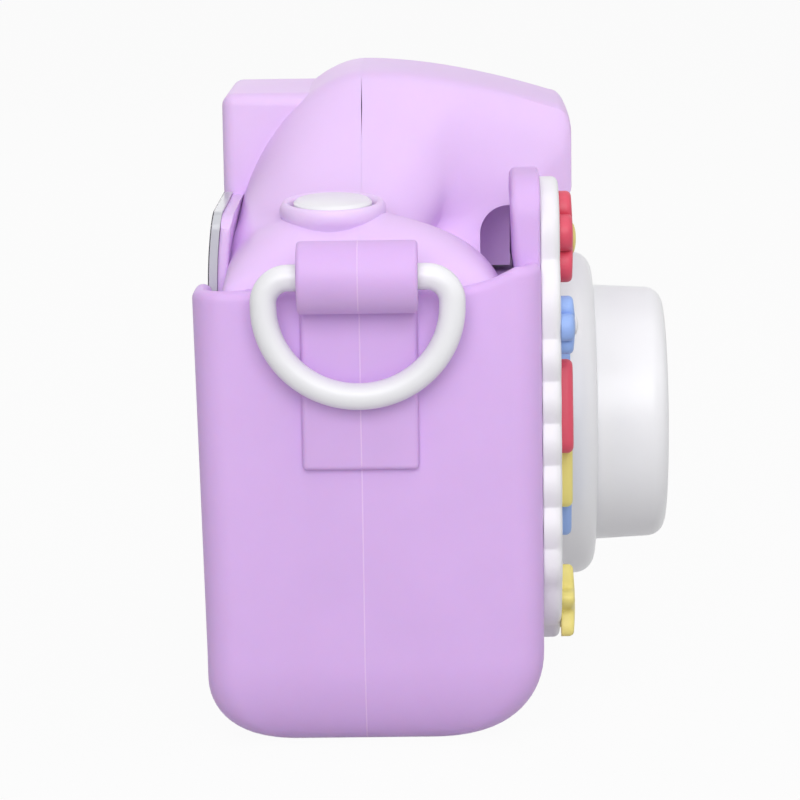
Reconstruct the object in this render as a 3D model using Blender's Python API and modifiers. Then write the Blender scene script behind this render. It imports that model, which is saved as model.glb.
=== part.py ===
"""Kids digital camera: a hard two-shell camera with a prism hump, worn in a soft silicone sleeve.

Millimetres are used throughout and scaled to metres when an object is made. +Z is up, the lens
points along -Y and the operator's right hand, with the shutter button, is at -X. Places along the
lens axis are given as "ahead", millimetres towards the front (ahead = -Y). The origin is on the
table, under the middle of the sleeve.
"""

import math

import bmesh
import bpy
from mathutils import Matrix, Vector

MM = 0.001

# Fits
FIT = 0.3            # gap between two pieces that seat on each other
RUN = 0.3            # radial gap round a piece that moves
CUT = 4.0            # how far a cutter runs past the wall it cuts

# Silicone sleeve
SLEEVE_HALF_WIDTH = 46.0
SLEEVE_DEPTH = 43.8
SLEEVE_WALL = 2.4
SLEEVE_FLOOR = 2.6
SLEEVE_EDGE = 4.2            # upright edges between the side, front and back walls
SLEEVE_SIDE_CORNER = 10.0    # rounding of the side walls into the floor
SLEEVE_REAR_CORNER = 9.0     # bottom corners in side view
SLEEVE_FRONT_CORNER = 12.0
RIM_Z = 60.2
RIM_ROUND = 1.3
REAR_POST = 8.0              # sleeve left at each side of the back window
PORT_WINDOW_DEPTH = 9.0
PORT_WINDOW_EDGE = 0.8       # room above and below the sockets

# Front ears of the sleeve, which stand up in front of the shoulders
EAR_INSET = 14.5             # middle of an ear from the sleeve's side
EAR_HALF_WIDTH = 9.0
EAR_TOP_Z = 73.7
EAR_THICK = 3.6
EAR_FOOT = 1.4               # thin foot of an ear above the rim, clear of the shoulder
EAR_STEP = 0.08              # how far an ear's front lies behind the wall's, and its foot behind the ear's
EAR_CORNER = 5.5

# Strap lug and ring on each side
LUG_AHEAD = -1.4
LUG_Z = 62.4
LUG_RADIUS = 4.6
LUG_LENGTH = 15.2
LUG_STAND_OFF = 3.3          # ring bar's axis outside the side wall
PAD_THICK = 1.2
PAD_BOTTOM_Z = 37.3
RING_TUBE = 3.4
RING_WIDTH = 27.2
RING_DROP = 15.2             # from the bar's axis to the middle of the bow
RING_CORNER = 3.2

# Hard camera body
SHELL_WALL = 2.0
SHELL_GAP = 0.3
PARTING_AHEAD = -1.3
HUMP_TOP_Z = 85.6
HUMP_PEAK_AHEAD = -1.3
HUMP_FLAT = 13.5             # half-width of the hump's flat top
FLANK_RUN = 16.5             # width over which a flank falls to the shoulder
HUMP_BROW_Z = 80.6           # top edge of the hump's front face
HUMP_FRONT_AHEAD = 27.3
HUMP_UNDER_Z = 67.3
HUMP_CORNER = 2.4
THROAT_RADIUS = 3.0          # hollow under the hump's overhang
THROAT_DEPTH = 4.8           # how far that hollow reaches behind the body's front
LEDGE_DROP = 6.6             # ledge at the foot of that hollow, below the overhang
DOME_TOP_Z = 69.2
DOME_PEAK_AHEAD = -3.0
DOME_END_RUN = 8.0           # rounding of the shoulder's outer end
WAIST_Z = 59.0               # where the side profile leaves the straight walls

# Eyepiece block at the back of the hump
BLOCK_HALF_WIDTH = 13.0
BLOCK_TOP_Z = 82.9
BLOCK_BOTTOM_Z = 67.6
BLOCK_REAR_AHEAD = -19.8
BLOCK_EDGE = 2.4

# Shutter release
SHUTTER_INSET = 12.0         # shutter's axis from the sleeve's side
SHUTTER_AHEAD = -4.8
SHUTTER_TILT = 5.0
SHUTTER_RADIUS = 5.1
SHUTTER_TRAVEL = 0.8
COLLAR_RADIUS = 6.9
COLLAR_TOP_Z = 70.3
COLLAR_DEPTH = 3.1
SEAT_DEPTH = 6.5             # underside of the shutter's seat below the collar's top

# Lens
LENS_Z = 36.0
LENS_BASE_RADIUS = 22.6
LENS_BASE_AHEAD = 30.0
LENS_BASE_EDGE = 2.8
LENS_NECK_RADIUS = 15.0
LENS_BORE_RADIUS = 11.0
BARREL_RADIUS = 17.9
BARREL_FRONT_RADIUS = 17.5
BARREL_AHEAD = 39.9
BARREL_EDGE = 2.4
BARREL_BORE_RADIUS = 14.6
BARREL_FLOOR = 2.0
GLASS_RADIUS = 8.6
GLASS_THICK = 2.4
MODULE_RADIUS = 6.5

# Back panel, screen and keys
PANEL_THICK = 1.5
PANEL_TOP_Z = 69.6
PANEL_LEAN = 1.7             # how far the panel's top edge leans forward
SCREEN_INSET = 11.5          # screen's outer end from the sleeve's side
SCREEN_Z = 34.5
SCREEN_HEIGHT = 36.0
SCREEN_THICK = 2.6
SCREEN_MARGIN = 4.0
KEY_INSET = 18.0             # keys from the sleeve's side
KEY_TO_SCREEN = 11.5         # from the keys' axis to the screen's inner end
KEY_RADIUS = 3.2
KEY_TRAVEL = 0.6
KEY_PROUD = 0.7
KEY_SWITCH = 1.2
KEY_HEIGHTS = {"power_key": 54.0, "mode_key": 44.5, "up_key": 34.0, "ok_key": 25.5, "down_key": 17.0}

# Electronics
BOARD_THICK = 1.2
BOARD_INSET = 11.2
BOARD_BOTTOM_Z = 8.0
BOARD_TOP_Z = 58.0
BATTERY_X = 4.0
BATTERY_SIZE = (36.0, 6.0, 30.0)
SPEAKER_INSET = 17.0
SPEAKER_Z = 22.0
SPEAKER_RADIUS = 8.5
SPEAKER_THICK = 4.0
BOSS_INSET = 8.0
USB_THICK = 3.2
USB_HEIGHT = 9.0
USB_BITE = 2.0               # how far the socket lies over the board
CARD_THICK = 1.8
CARD_HEIGHT = 11.0
CARD_BITE = 7.0
CARD_SUNK = 0.7              # how far the card socket lies behind the USB socket's mouth
PORT_SPACING = 1.0
BOSS_RADIUS = 2.6
SCREW_RADIUS = 1.1
SCREW_HEAD_RADIUS = 2.1
SCREW_HEAD = 1.2
FLASH_Z = 74.4
FLASH_RADIUS = 4.2
REAR_EYE_Z = 75.6
REAR_EYE_RADIUS = 4.6
REAR_EYE_BORE = 3.0

# Front relief
RELIEF_THICK = 2.2
RELIEF_TOP_Z = 73.1
RELIEF_BOTTOM_Z = 10.5
MOTIF_THICK = 1.8
RELIEF_INSET = 4.4           # side of the relief from the sleeve's side
RELIEF_MIDDLE = 8.0          # half-width of the middle scallop at the bottom
RELIEF_SCALLOP = 12.0        # width of a scallop along the bottom
RELIEF_SIDE_LOW = 9.5        # first scallop up the side, above the bottom edge
RELIEF_SIDE_RISE = 5.5       # height of a scallop up the side
FLOWER_RADIUS = 6.2
FLOWER_DROP = 8.4            # flower's middle below the relief's top
BLOSSOM_RADIUS = 3.8
BLOSSOM_RISE = 18.2          # blossom's middle above the lens axis
STAR_RADIUS = 5.0
BAND_START = 4.0             # first band outside the lens base
BAND_WIDTH = 3.0
BAND_GAP = 0.8
BAND_ANGLES = {"blue_band": (-24, 27), "yellow_band": (-12, 14), "red_band": (2, 21)}

# Values that follow from the sizes above
SLEEVE_FRONT = SLEEVE_DEPTH / 2
SLEEVE_REAR = -SLEEVE_DEPTH / 2
BODY_FRONT = SLEEVE_FRONT - SLEEVE_WALL - FIT
BODY_REAR = SLEEVE_REAR + SLEEVE_WALL + FIT
BODY_HALF_WIDTH = SLEEVE_HALF_WIDTH - SLEEVE_WALL - FIT
BODY_BOTTOM = SLEEVE_FLOOR + FIT
REAR_WINDOW_HALF = SLEEVE_HALF_WIDTH - REAR_POST
EAR_X = SLEEVE_HALF_WIDTH - EAR_INSET
SHUTTER_X = SHUTTER_INSET - SLEEVE_HALF_WIDTH
KEY_X = KEY_INSET - SLEEVE_HALF_WIDTH
SCREEN_WIDTH = SLEEVE_HALF_WIDTH - SCREEN_INSET - KEY_X - KEY_TO_SCREEN
SCREEN_X = SLEEVE_HALF_WIDTH - SCREEN_INSET - SCREEN_WIDTH / 2
BOARD_HALF_WIDTH = SLEEVE_HALF_WIDTH - BOARD_INSET
SPEAKER_X = SLEEVE_HALF_WIDTH - SPEAKER_INSET
BOSS_X = SLEEVE_HALF_WIDTH - BOSS_INSET
RELIEF_EDGE = SLEEVE_HALF_WIDTH - RELIEF_INSET
BAND_INNER = LENS_BASE_RADIUS + BAND_START
THROAT_AHEAD = BODY_FRONT - THROAT_DEPTH
LEDGE_Z = HUMP_UNDER_Z - LEDGE_DROP
LUG_X = SLEEVE_HALF_WIDTH + LUG_STAND_OFF
RING_RADIUS = RING_TUBE / 2
INNER_REAR = BODY_REAR + SHELL_WALL
INNER_FRONT = BODY_FRONT - SHELL_WALL
NECK_END = INNER_FRONT - 2.0
REAR_WINDOW_SILL = SLEEVE_REAR_CORNER + 0.3
PANEL_BOTTOM_Z = REAR_WINDOW_SILL + 0.5
PANEL_HALF_WIDTH = REAR_WINDOW_HALF - 0.5
BOARD_REAR = INNER_REAR + FIT + SCREEN_THICK + FIT
BOARD_FRONT = BOARD_REAR + BOARD_THICK
SCREW_SEAT = BODY_FRONT - SCREW_HEAD - 2 * FIT
SCREW_TIP = PARTING_AHEAD - 6.0
BOSS_PLACES = [(side * BOSS_X, z) for side in (-1, 1) for z in (BODY_BOTTOM + 8.0, WAIST_Z - 4.5)]
SHUTTER_AXIS = (-math.sin(math.radians(SHUTTER_TILT)), 0.0, math.cos(math.radians(SHUTTER_TILT)))
PORT_REAR = BOARD_FRONT + FIT
USB_LOW = BOSS_PLACES[0][1] + BOSS_RADIUS + PORT_WINDOW_EDGE
CARD_LOW = USB_LOW + USB_HEIGHT + PORT_SPACING
CARD_HIGH = CARD_LOW + CARD_HEIGHT
PORT_MOUTH = BODY_HALF_WIDTH - FIT
PORTS = {
    "usb_socket": ((BOARD_HALF_WIDTH - USB_BITE, PORT_REAR, USB_LOW),
                   (PORT_MOUTH, PORT_REAR + USB_THICK, USB_LOW + USB_HEIGHT)),
    "card_socket": ((BOARD_HALF_WIDTH - CARD_BITE, PORT_REAR, CARD_LOW),
                    (PORT_MOUTH - CARD_SUNK, PORT_REAR + CARD_THICK, CARD_HIGH)),
}
PORT_WINDOW_AHEAD = PORT_REAR + USB_THICK / 2
PORT_WINDOW_LOW = USB_LOW - PORT_WINDOW_EDGE
PORT_WINDOW_HIGH = CARD_HIGH + PORT_WINDOW_EDGE

COLOURS = {
    "lilac_silicone": ((0.70, 0.43, 0.86), 0.55, 0.0),
    "lilac_plastic": ((0.75, 0.52, 0.93), 0.45, 0.0),
    "white_plastic": ((0.86, 0.86, 0.88), 0.35, 0.0),
    "white_relief": ((0.88, 0.87, 0.90), 0.5, 0.0),
    "red_relief": ((0.80, 0.09, 0.14), 0.5, 0.0),
    "blue_relief": ((0.25, 0.45, 0.85), 0.5, 0.0),
    "yellow_relief": ((0.90, 0.75, 0.18), 0.5, 0.0),
    "black_plastic": ((0.02, 0.02, 0.022), 0.4, 0.0),
    "smoke_panel": ((0.10, 0.10, 0.12), 0.08, 0.0),
    "clear_glass": ((0.10, 0.11, 0.14), 0.03, 0.0),
    "green_board": ((0.02, 0.16, 0.07), 0.5, 0.0),
    "silver_foil": ((0.62, 0.62, 0.63), 0.35, 0.9),
    "steel": ((0.55, 0.55, 0.56), 0.3, 1.0),
    "screen": ((0.01, 0.012, 0.02), 0.1, 0.0),
}


def clear_scene():
    """Start from an empty file with one collection for the pieces and one for the cutters."""
    for obj in list(bpy.data.objects):
        bpy.data.objects.remove(obj)
    made = {}
    for name in ("kids_camera", "cutters"):
        made[name] = bpy.data.collections.new(name)
        bpy.context.scene.collection.children.link(made[name])
    return made["kids_camera"], made["cutters"]


PIECES, CUTTERS = clear_scene()


def at(x, ahead, z):
    """A place in metres from millimetres across, ahead and up."""
    return Vector((x, -ahead, z)) * MM


def material(name):
    """The named Principled material, made on first use."""
    found = bpy.data.materials.get(name)
    if found:
        return found
    colour, roughness, metallic = COLOURS[name]
    made = bpy.data.materials.new(name)
    made.use_nodes = True
    shader = made.node_tree.nodes["Principled BSDF"]
    shader.inputs["Base Color"].default_value = (*colour, 1.0)
    shader.inputs["Roughness"].default_value = roughness
    shader.inputs["Metallic"].default_value = metallic
    return made


def link(name, data, finish=None):
    """A new object: a piece when it has a finish, else a hidden cutter."""
    obj = bpy.data.objects.new(name, data)
    if finish:
        PIECES.objects.link(obj)
        obj.data.materials.append(material(finish))
    else:
        CUTTERS.objects.link(obj)
        obj.hide_render = True
        obj.display_type = "WIRE"
    return obj


def mesh_from(bm, name, finish=None, smooth=35.0):
    """Turn a bmesh into an object, with faces smooth below the given angle."""
    bmesh.ops.recalc_face_normals(bm, faces=bm.faces)
    mesh = bpy.data.meshes.new(name)
    bm.to_mesh(mesh)
    bm.free()
    mesh.shade_smooth()
    mesh.set_sharp_from_angle(angle=math.radians(smooth))
    return link(name, mesh, finish)


def box(name, low, high, finish=None, edge=0.0, segments=2):
    """A box between two (x, ahead, z) corners, with its edges rounded."""
    bm = bmesh.new()
    bmesh.ops.create_cube(bm, size=1.0)
    size = [abs(high[i] - low[i]) * MM for i in range(3)]
    middle = at(*[(high[i] + low[i]) / 2 for i in range(3)])
    bmesh.ops.transform(bm, matrix=Matrix.Translation(middle) @ Matrix.Diagonal((*size, 1.0)), verts=bm.verts)
    if edge:
        bmesh.ops.bevel(bm, geom=bm.edges[:], offset=edge * MM, segments=segments, profile=0.5,
                        affect="EDGES")
    return mesh_from(bm, name, finish)


def turned(name, outline, place, axis=(0, -1, 0), finish=None, steps=32):
    """A turned piece: (radius, height) points from the foot, up the outside and back to the axis.

    The outline is closed on the axis or, for a ring, back to its first point."""
    ring = min(r for r, _ in outline) > 0
    mesh = bpy.data.meshes.new(name)
    edges = [(i, i + 1) for i in range(len(outline) - 1)]
    if ring:
        edges.append((len(outline) - 1, 0))
    mesh.from_pydata([(r * MM, 0.0, h * MM) for r, h in outline], edges, [])
    obj = link(name, mesh)
    screw = obj.modifiers.new("turn", "SCREW")
    screw.steps = steps
    screw.render_steps = steps
    screw.use_merge_vertices = True
    screw.merge_threshold = 0.00001
    obj = as_mesh(obj, finish)
    obj.location = at(*place)
    obj.rotation_euler = Vector((0, 0, 1)).rotation_difference(Vector(axis)).to_euler()
    return obj


def as_mesh(obj, finish=None):
    """Replace a curve, or an object with modifiers, by its evaluated and welded mesh."""
    name = obj.name
    bpy.context.view_layer.update()
    evaluated = obj.evaluated_get(bpy.context.evaluated_depsgraph_get())
    mesh = bpy.data.meshes.new_from_object(evaluated)
    world = obj.matrix_world.copy()
    bm = bmesh.new()
    bm.from_mesh(mesh)
    bmesh.ops.transform(bm, matrix=world, verts=bm.verts)
    bmesh.ops.remove_doubles(bm, verts=bm.verts, dist=0.000002)
    bpy.data.meshes.remove(mesh)
    bpy.data.objects.remove(obj)
    return mesh_from(bm, name, finish)


def plate(name, points, thick, place, normal="x", edge=0.0, finish=None, holes=()):
    """A flat plate from a closed outline of (u, v) points, centred on place, as a welded mesh.

    With normal "x" the outline is (ahead, up), with "ahead" it is (across, up)."""
    curve = bpy.data.curves.new(name, "CURVE")
    curve.dimensions = "2D"
    curve.fill_mode = "BOTH"
    curve.extrude = (thick / 2 - edge) * MM
    curve.bevel_depth = edge * MM
    curve.offset = -edge * MM
    curve.bevel_resolution = 0
    for outline in (points, *holes):
        spline = curve.splines.new("POLY")
        spline.points.add(len(outline) - 1)
        spline.use_cyclic_u = True
        for target, (u, v) in zip(spline.points, outline):
            target.co = ((-u if normal == "x" else u) * MM, v * MM, 0.0, 1.0)
    obj = link(name, curve)
    turn = Matrix.Rotation(math.pi / 2, 4, "X")
    if normal == "x":
        turn = Matrix.Rotation(math.pi / 2, 4, "Z") @ turn
    obj.matrix_world = Matrix.Translation(at(*place)) @ turn
    return as_mesh(obj, finish)


def combine(obj, other, operation):
    """Cut, join or intersect obj with another, which stays as a hidden tool."""
    change = obj.modifiers.new(other.name, "BOOLEAN")
    change.operation = operation
    change.object = other
    change.solver = "EXACT"
    return obj


def cut(obj, *tools):
    for tool in tools:
        combine(obj, tool, "DIFFERENCE")
    return obj


def join(obj, *tools):
    for tool in tools:
        combine(obj, tool, "UNION")
    return obj


def arc(u, v, radius, start, end, count=6):
    """Points on an arc, from one angle to another in degrees."""
    angles = [math.radians(start + (end - start) * i / count) for i in range(count + 1)]
    return [(u + radius * math.cos(a), v + radius * math.sin(a)) for a in angles]


def rod(name, radius, start, end, finish=None, segments=24):
    """A cylinder between two (x, ahead, z) places."""
    first, last = at(*start), at(*end)
    bm = bmesh.new()
    turn = Vector((0, 0, 1)).rotation_difference(last - first).to_matrix().to_4x4()
    bmesh.ops.create_cone(
        bm, cap_ends=True, segments=segments, radius1=radius * MM, radius2=radius * MM,
        depth=(last - first).length, matrix=Matrix.Translation((first + last) / 2) @ turn)
    return mesh_from(bm, name, finish)


# Side profiles of the hard body

REAR_STEPS = 8
TOP_STEPS = 6
CORNER_STEPS = 3
THROAT_STEPS = 4
BOTTOM_STEPS = 3
HOLLOW_STEPS = 4


def bulge(start, end, power, steps):
    """Quarter superellipse from a point on its side to the point at its top."""
    points = []
    for i in range(steps + 1):
        angle = math.pi / 2 * i / steps
        across = max(0.0, math.cos(angle)) ** (2 / power)
        up = math.sin(angle) ** (2 / power)
        points.append((end[0] + (start[0] - end[0]) * across, start[1] + (end[1] - start[1]) * up))
    return points


def hump_profile():
    """Upper outline through the hump, from the back of the waist over the top to the front ledge."""
    peak = (HUMP_PEAK_AHEAD, HUMP_TOP_Z)
    brow = HUMP_FRONT_AHEAD - HUMP_CORNER
    points = bulge((BODY_REAR, WAIST_Z), peak, 1.8, REAR_STEPS)
    for i in range(1, TOP_STEPS + 1):
        share = i / TOP_STEPS
        drop = (HUMP_TOP_Z - HUMP_BROW_Z) * share ** 1.5
        points.append((peak[0] + (brow - peak[0]) * share, peak[1] - drop))
    points += arc(brow, HUMP_BROW_Z - HUMP_CORNER, HUMP_CORNER, 60, 0, CORNER_STEPS)
    points += arc(brow, HUMP_UNDER_Z + HUMP_CORNER, HUMP_CORNER, 0, -90, CORNER_STEPS)
    throat = (THROAT_AHEAD + THROAT_RADIUS, HUMP_UNDER_Z - THROAT_RADIUS)
    points += arc(*throat, THROAT_RADIUS, 90, 180, THROAT_STEPS)
    points += [(THROAT_AHEAD + 0.3, LEDGE_Z), (BODY_FRONT, LEDGE_Z - 0.6)]
    return points


def dome_profile(count):
    """Upper outline through a shoulder, with as many points as the hump's outline."""
    top = (DOME_PEAK_AHEAD, DOME_TOP_Z)
    points = bulge((BODY_REAR + 0.3, WAIST_Z), top, 2.3, REAR_STEPS)
    falling = bulge((BODY_FRONT, WAIST_Z - 1.6), top, 2.05, count - len(points))
    return points + falling[-2::-1]


def hollow_profile(top, power, front):
    """Upper outline of the space inside, under the hump or under a shoulder."""
    rising = bulge((BODY_REAR + SHELL_WALL, WAIST_Z), top, power, HOLLOW_STEPS)
    falling = bulge((front, WAIST_Z - 3.0), top, 2.0, HOLLOW_STEPS)
    return rising + falling[-2::-1] + [(BODY_FRONT - SHELL_WALL, WAIST_Z - 3.6)]


HUMP_POINTS = hump_profile()
DOME_POINTS = dome_profile(len(HUMP_POINTS))
# The front of the hump has steeper flanks than its back
STEEPNESS = [1.0 + 2.2 * max(0.0, min(1.0, (i - REAR_STEPS - 2) / 6)) for i in range(len(HUMP_POINTS))]
HUMP_HOLLOW = hollow_profile((HUMP_PEAK_AHEAD, HUMP_TOP_Z - SHELL_WALL - 0.4), 1.8, THROAT_AHEAD - SHELL_WALL)
DOME_HOLLOW = hollow_profile((DOME_PEAK_AHEAD, DOME_TOP_Z - SHELL_WALL), 2.1, BODY_FRONT - SHELL_WALL)


def hump_weight(x):
    """1 across the hump's flat top, falling in a rounded then hollow curve to 0 at the shoulder."""
    def fall(distance):
        share = (distance - HUMP_FLAT) / FLANK_RUN
        eased = (math.sqrt(share * share + 0.0064) + share) / 2
        return max(0.0, 1.0 - eased) ** 2
    return fall(abs(x)) / fall(0.0)


def turn_in(distance, radius):
    """How far a rounded edge draws in at a distance from the outer face."""
    short = max(0.0, radius - distance)
    return radius - math.sqrt(max(0.0, radius * radius - short * short))


def lower_outline(x, inset):
    """The front bottom corner, then the back one, rounded to follow the inside of the sleeve."""
    distance = BODY_HALF_WIDTH - abs(x)
    lift = BODY_BOTTOM + inset + turn_in(distance, SLEEVE_SIDE_CORNER - SLEEVE_WALL)
    draw = inset + turn_in(distance, SLEEVE_EDGE - SLEEVE_WALL)
    front = SLEEVE_FRONT_CORNER - SLEEVE_WALL - inset
    rear = SLEEVE_REAR_CORNER - SLEEVE_WALL - inset
    points = arc(BODY_FRONT - draw - front, lift + front, front, 0, -90, BOTTOM_STEPS)
    return points + arc(BODY_REAR + draw + rear, lift + rear, rear, -90, -180, BOTTOM_STEPS)


def body_section(x):
    """Closed outline of the hard body at x."""
    weight = hump_weight(x)
    distance = BODY_HALF_WIDTH - abs(x)
    squeeze = math.sqrt(max(0.03, 1.0 - max(0.0, 1.0 - distance / DOME_END_RUN) ** 2))
    draw = turn_in(distance, SLEEVE_EDGE - SLEEVE_WALL)
    upper = []
    for hump, dome, power in zip(HUMP_POINTS, DOME_POINTS, STEEPNESS):
        share = weight ** power
        ahead = dome[0] + (hump[0] - dome[0]) * share
        up = dome[1] + (hump[1] - dome[1]) * share
        if up > WAIST_Z:
            up = WAIST_Z + (up - WAIST_Z) * squeeze
        limit = max(BODY_FRONT - draw, HUMP_FRONT_AHEAD * share)
        upper.append((max(BODY_REAR + draw, min(limit, ahead)), up))
    return upper + lower_outline(x, 0.0)


def hollow_section(x):
    """Closed outline of the space inside the hard body at x."""
    weight = hump_weight(abs(x) + SHELL_WALL)
    distance = BODY_HALF_WIDTH - SHELL_WALL - abs(x)
    run = DOME_END_RUN - SHELL_WALL
    squeeze = math.sqrt(max(0.03, 1.0 - max(0.0, 1.0 - distance / run) ** 2))
    upper = []
    for hump, dome in zip(HUMP_HOLLOW, DOME_HOLLOW):
        ahead = dome[0] + (hump[0] - dome[0]) * weight
        up = dome[1] + (hump[1] - dome[1]) * weight
        if up > WAIST_Z:
            up = WAIST_Z + (up - WAIST_Z) * squeeze
        upper.append((ahead, up))
    return upper + lower_outline(x, SHELL_WALL)


OUTER_SHARES = (-0.25, -0.05, 0.08, 0.22, 0.4, 0.6, 0.85)
HOLLOW_SHARES = (-0.2, 0.12, 0.5)
END_SHARES = (0.7, 0.4, 0.2, 0.07)


def stations(half, shares):
    """Places across the body where sections are taken, closer where the form turns."""
    turning = [HUMP_FLAT + FLANK_RUN * share for share in shares]
    ends = [half - DOME_END_RUN * share for share in END_SHARES]
    side = sorted(x for x in turning + ends if x < half - 0.1) + [half]
    return [-x for x in reversed(side)] + [0.0] + side


def lofted(name, section, half, shares, finish=None):
    """A solid lofted from side to side through the sections."""
    bm = bmesh.new()
    rings = []
    for x in stations(half, shares):
        rings.append([bm.verts.new(at(x, u, v)) for u, v in section(x)])
    for left, right in zip(rings, rings[1:]):
        for i in range(len(left)):
            j = (i + 1) % len(left)
            bm.faces.new((left[i], left[j], right[j], right[i]))
    bm.faces.new(rings[0])
    bm.faces.new(rings[-1])
    return mesh_from(bm, name, finish, 40.0)


# Hard body: two shells split at the parting plane

def shutter_place(along):
    """A place on the shutter's tilted axis, so many millimetres above the collar's top."""
    return (SHUTTER_X + SHUTTER_AXIS[0] * along, SHUTTER_AHEAD, COLLAR_TOP_Z + SHUTTER_AXIS[2] * along)


def back_curve(offset, low, high):
    """Side outline of the back panel's surface, which leans forward above the waist."""
    points = [(SLEEVE_REAR + offset, low)]
    for i in range(5):
        z = WAIST_Z + (high - WAIST_Z) * i / 4
        points.append((SLEEVE_REAR + offset + PANEL_LEAN * (i / 4) ** 2, z))
    return points


def back_plate(name, outer, inner, low, high, half_width, finish=None, edge=0.0):
    outline = back_curve(outer, low, high) + back_curve(inner, low, high)[::-1]
    return plate(name, outline, 2 * half_width, (0, 0, 0), "x", edge, finish)


def throat_outline():
    """Side outline of the open space under the hump's overhang, just clear of the shoulders."""
    clear = FIT
    high = HUMP_UNDER_Z - clear
    rear = THROAT_AHEAD + clear
    reach = HUMP_FRONT_AHEAD + CUT
    corner = arc(rear + THROAT_RADIUS, high - THROAT_RADIUS, THROAT_RADIUS, 90, 150)
    shoulder = [(ahead, up + clear) for ahead, up in DOME_POINTS if ahead > corner[-1][0] + clear]
    return [(reach, high)] + corner + shoulder + [(reach, shoulder[-1][1])]


def make_shells():
    hollow = lofted("hollow", hollow_section, BODY_HALF_WIDTH - SHELL_WALL, HOLLOW_SHARES)
    for i, (x, z) in enumerate(BOSS_PLACES):
        cut(hollow, rod(f"boss_{i}", BOSS_RADIUS, (x, BODY_REAR - CUT, z),
                        (x, BODY_FRONT + CUT, z), None, 10))
    cut(hollow, rod("shutter_seat", COLLAR_RADIUS + SHELL_WALL, shutter_place(-SEAT_DEPTH),
                    shutter_place(CUT)))

    wide = SLEEVE_HALF_WIDTH + CUT
    high = HUMP_TOP_Z + CUT
    split = SHELL_GAP / 2
    halves = {
        "front_shell": box("front_half", (-wide, PARTING_AHEAD + split, -CUT),
                           (wide, HUMP_FRONT_AHEAD + CUT, high)),
        "rear_shell": box("rear_half", (-wide, SLEEVE_REAR - CUT, -CUT), (wide, PARTING_AHEAD - split, high)),
    }
    pocket = rod("collar_pocket", COLLAR_RADIUS + FIT, shutter_place(-COLLAR_DEPTH - FIT),
                 shutter_place(CUT * 2), None, 24)
    shutter_hole = rod("shutter_hole", SHUTTER_RADIUS + RUN, shutter_place(-SEAT_DEPTH - CUT),
                       shutter_place(CUT), None, 24)
    shells = {}
    for name, half in halves.items():
        shell = lofted(name, body_section, BODY_HALF_WIDTH, OUTER_SHARES, "lilac_plastic")
        shells[name] = combine(shell, half, "INTERSECT")

    rear = shells["rear_shell"]
    join(rear, box("eyepiece_block", (-BLOCK_HALF_WIDTH, BLOCK_REAR_AHEAD, BLOCK_BOTTOM_Z),
                   (BLOCK_HALF_WIDTH, HUMP_PEAK_AHEAD - 5.0, BLOCK_TOP_Z), None, BLOCK_EDGE, 3))
    join(rear, back_plate("panel_backing", PANEL_THICK + FIT, PANEL_THICK + FIT + SHELL_WALL + 0.8,
                          PANEL_BOTTOM_Z, PANEL_TOP_Z - 0.8, PANEL_HALF_WIDTH - 0.8))
    cut(rear, hollow)
    wall = SHELL_WALL + 0.2
    cut(rear, box("eyepiece_hollow",
                  (-BLOCK_HALF_WIDTH + wall, BLOCK_REAR_AHEAD + wall, BLOCK_BOTTOM_Z + wall),
                  (BLOCK_HALF_WIDTH - wall, HUMP_PEAK_AHEAD - 7.0, BLOCK_TOP_Z - wall)))
    half_width = SCREEN_WIDTH / 2 - SCREEN_MARGIN
    half_height = SCREEN_HEIGHT / 2 - SCREEN_MARGIN
    cut(rear, box("screen_window", (SCREEN_X - half_width, BODY_REAR - CUT, SCREEN_Z - half_height),
                  (SCREEN_X + half_width, INNER_REAR + 1.0, SCREEN_Z + half_height)))
    for key, z in KEY_HEIGHTS.items():
        cut(rear, rod(f"{key}_hole", KEY_RADIUS + RUN, (KEY_X, BODY_REAR - CUT, z),
                      (KEY_X, INNER_REAR + 1.0, z), None, 14))
    cut(rear, rod("eye_hole", REAR_EYE_RADIUS + FIT, (0, BLOCK_REAR_AHEAD - CUT, REAR_EYE_Z),
                  (0, BLOCK_REAR_AHEAD + CUT, REAR_EYE_Z)))
    for name, (low, high) in PORTS.items():
        cut(rear, box(f"{name}_slot", (BODY_HALF_WIDTH - CUT, low[1] - FIT, low[2] - FIT),
                      (BODY_HALF_WIDTH + CUT, high[1] + FIT, high[2] + FIT)))

    front = shells["front_shell"]
    cut(front, plate("throat", throat_outline(), 2 * HUMP_FLAT + FLANK_RUN, (0, 0, 0)), hollow)
    cut(front, box("flash_hollow", (-FLASH_RADIUS - 2.5, THROAT_AHEAD - CUT, FLASH_Z - FLASH_RADIUS - 0.6),
                   (FLASH_RADIUS + 2.5, HUMP_FRONT_AHEAD - SHELL_WALL, FLASH_Z + FLASH_RADIUS + 0.4)))
    cut(front, rod("flash_hole", FLASH_RADIUS + FIT, (0, HUMP_FRONT_AHEAD - CUT, FLASH_Z),
                   (0, HUMP_FRONT_AHEAD + CUT, FLASH_Z), None, 20))
    cut(front, rod("lens_hole", LENS_NECK_RADIUS + FIT, (0, INNER_FRONT - 1.0, LENS_Z),
                   (0, BODY_FRONT + CUT, LENS_Z), None, 36))
    for i, (x, z) in enumerate(BOSS_PLACES):
        mouth = (x, BODY_FRONT + CUT, z)
        bore = rod(f"screw_bore_{i}", SCREW_RADIUS + FIT, (x, SCREW_TIP - FIT, z), mouth, None, 8)
        head = rod(f"head_bore_{i}", SCREW_HEAD_RADIUS + FIT, (x, SCREW_SEAT, z), mouth, None, 8)
        cut(front, bore, head)
        cut(rear, bore)
    for shell in shells.values():
        cut(shell, pocket, shutter_hole)


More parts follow.
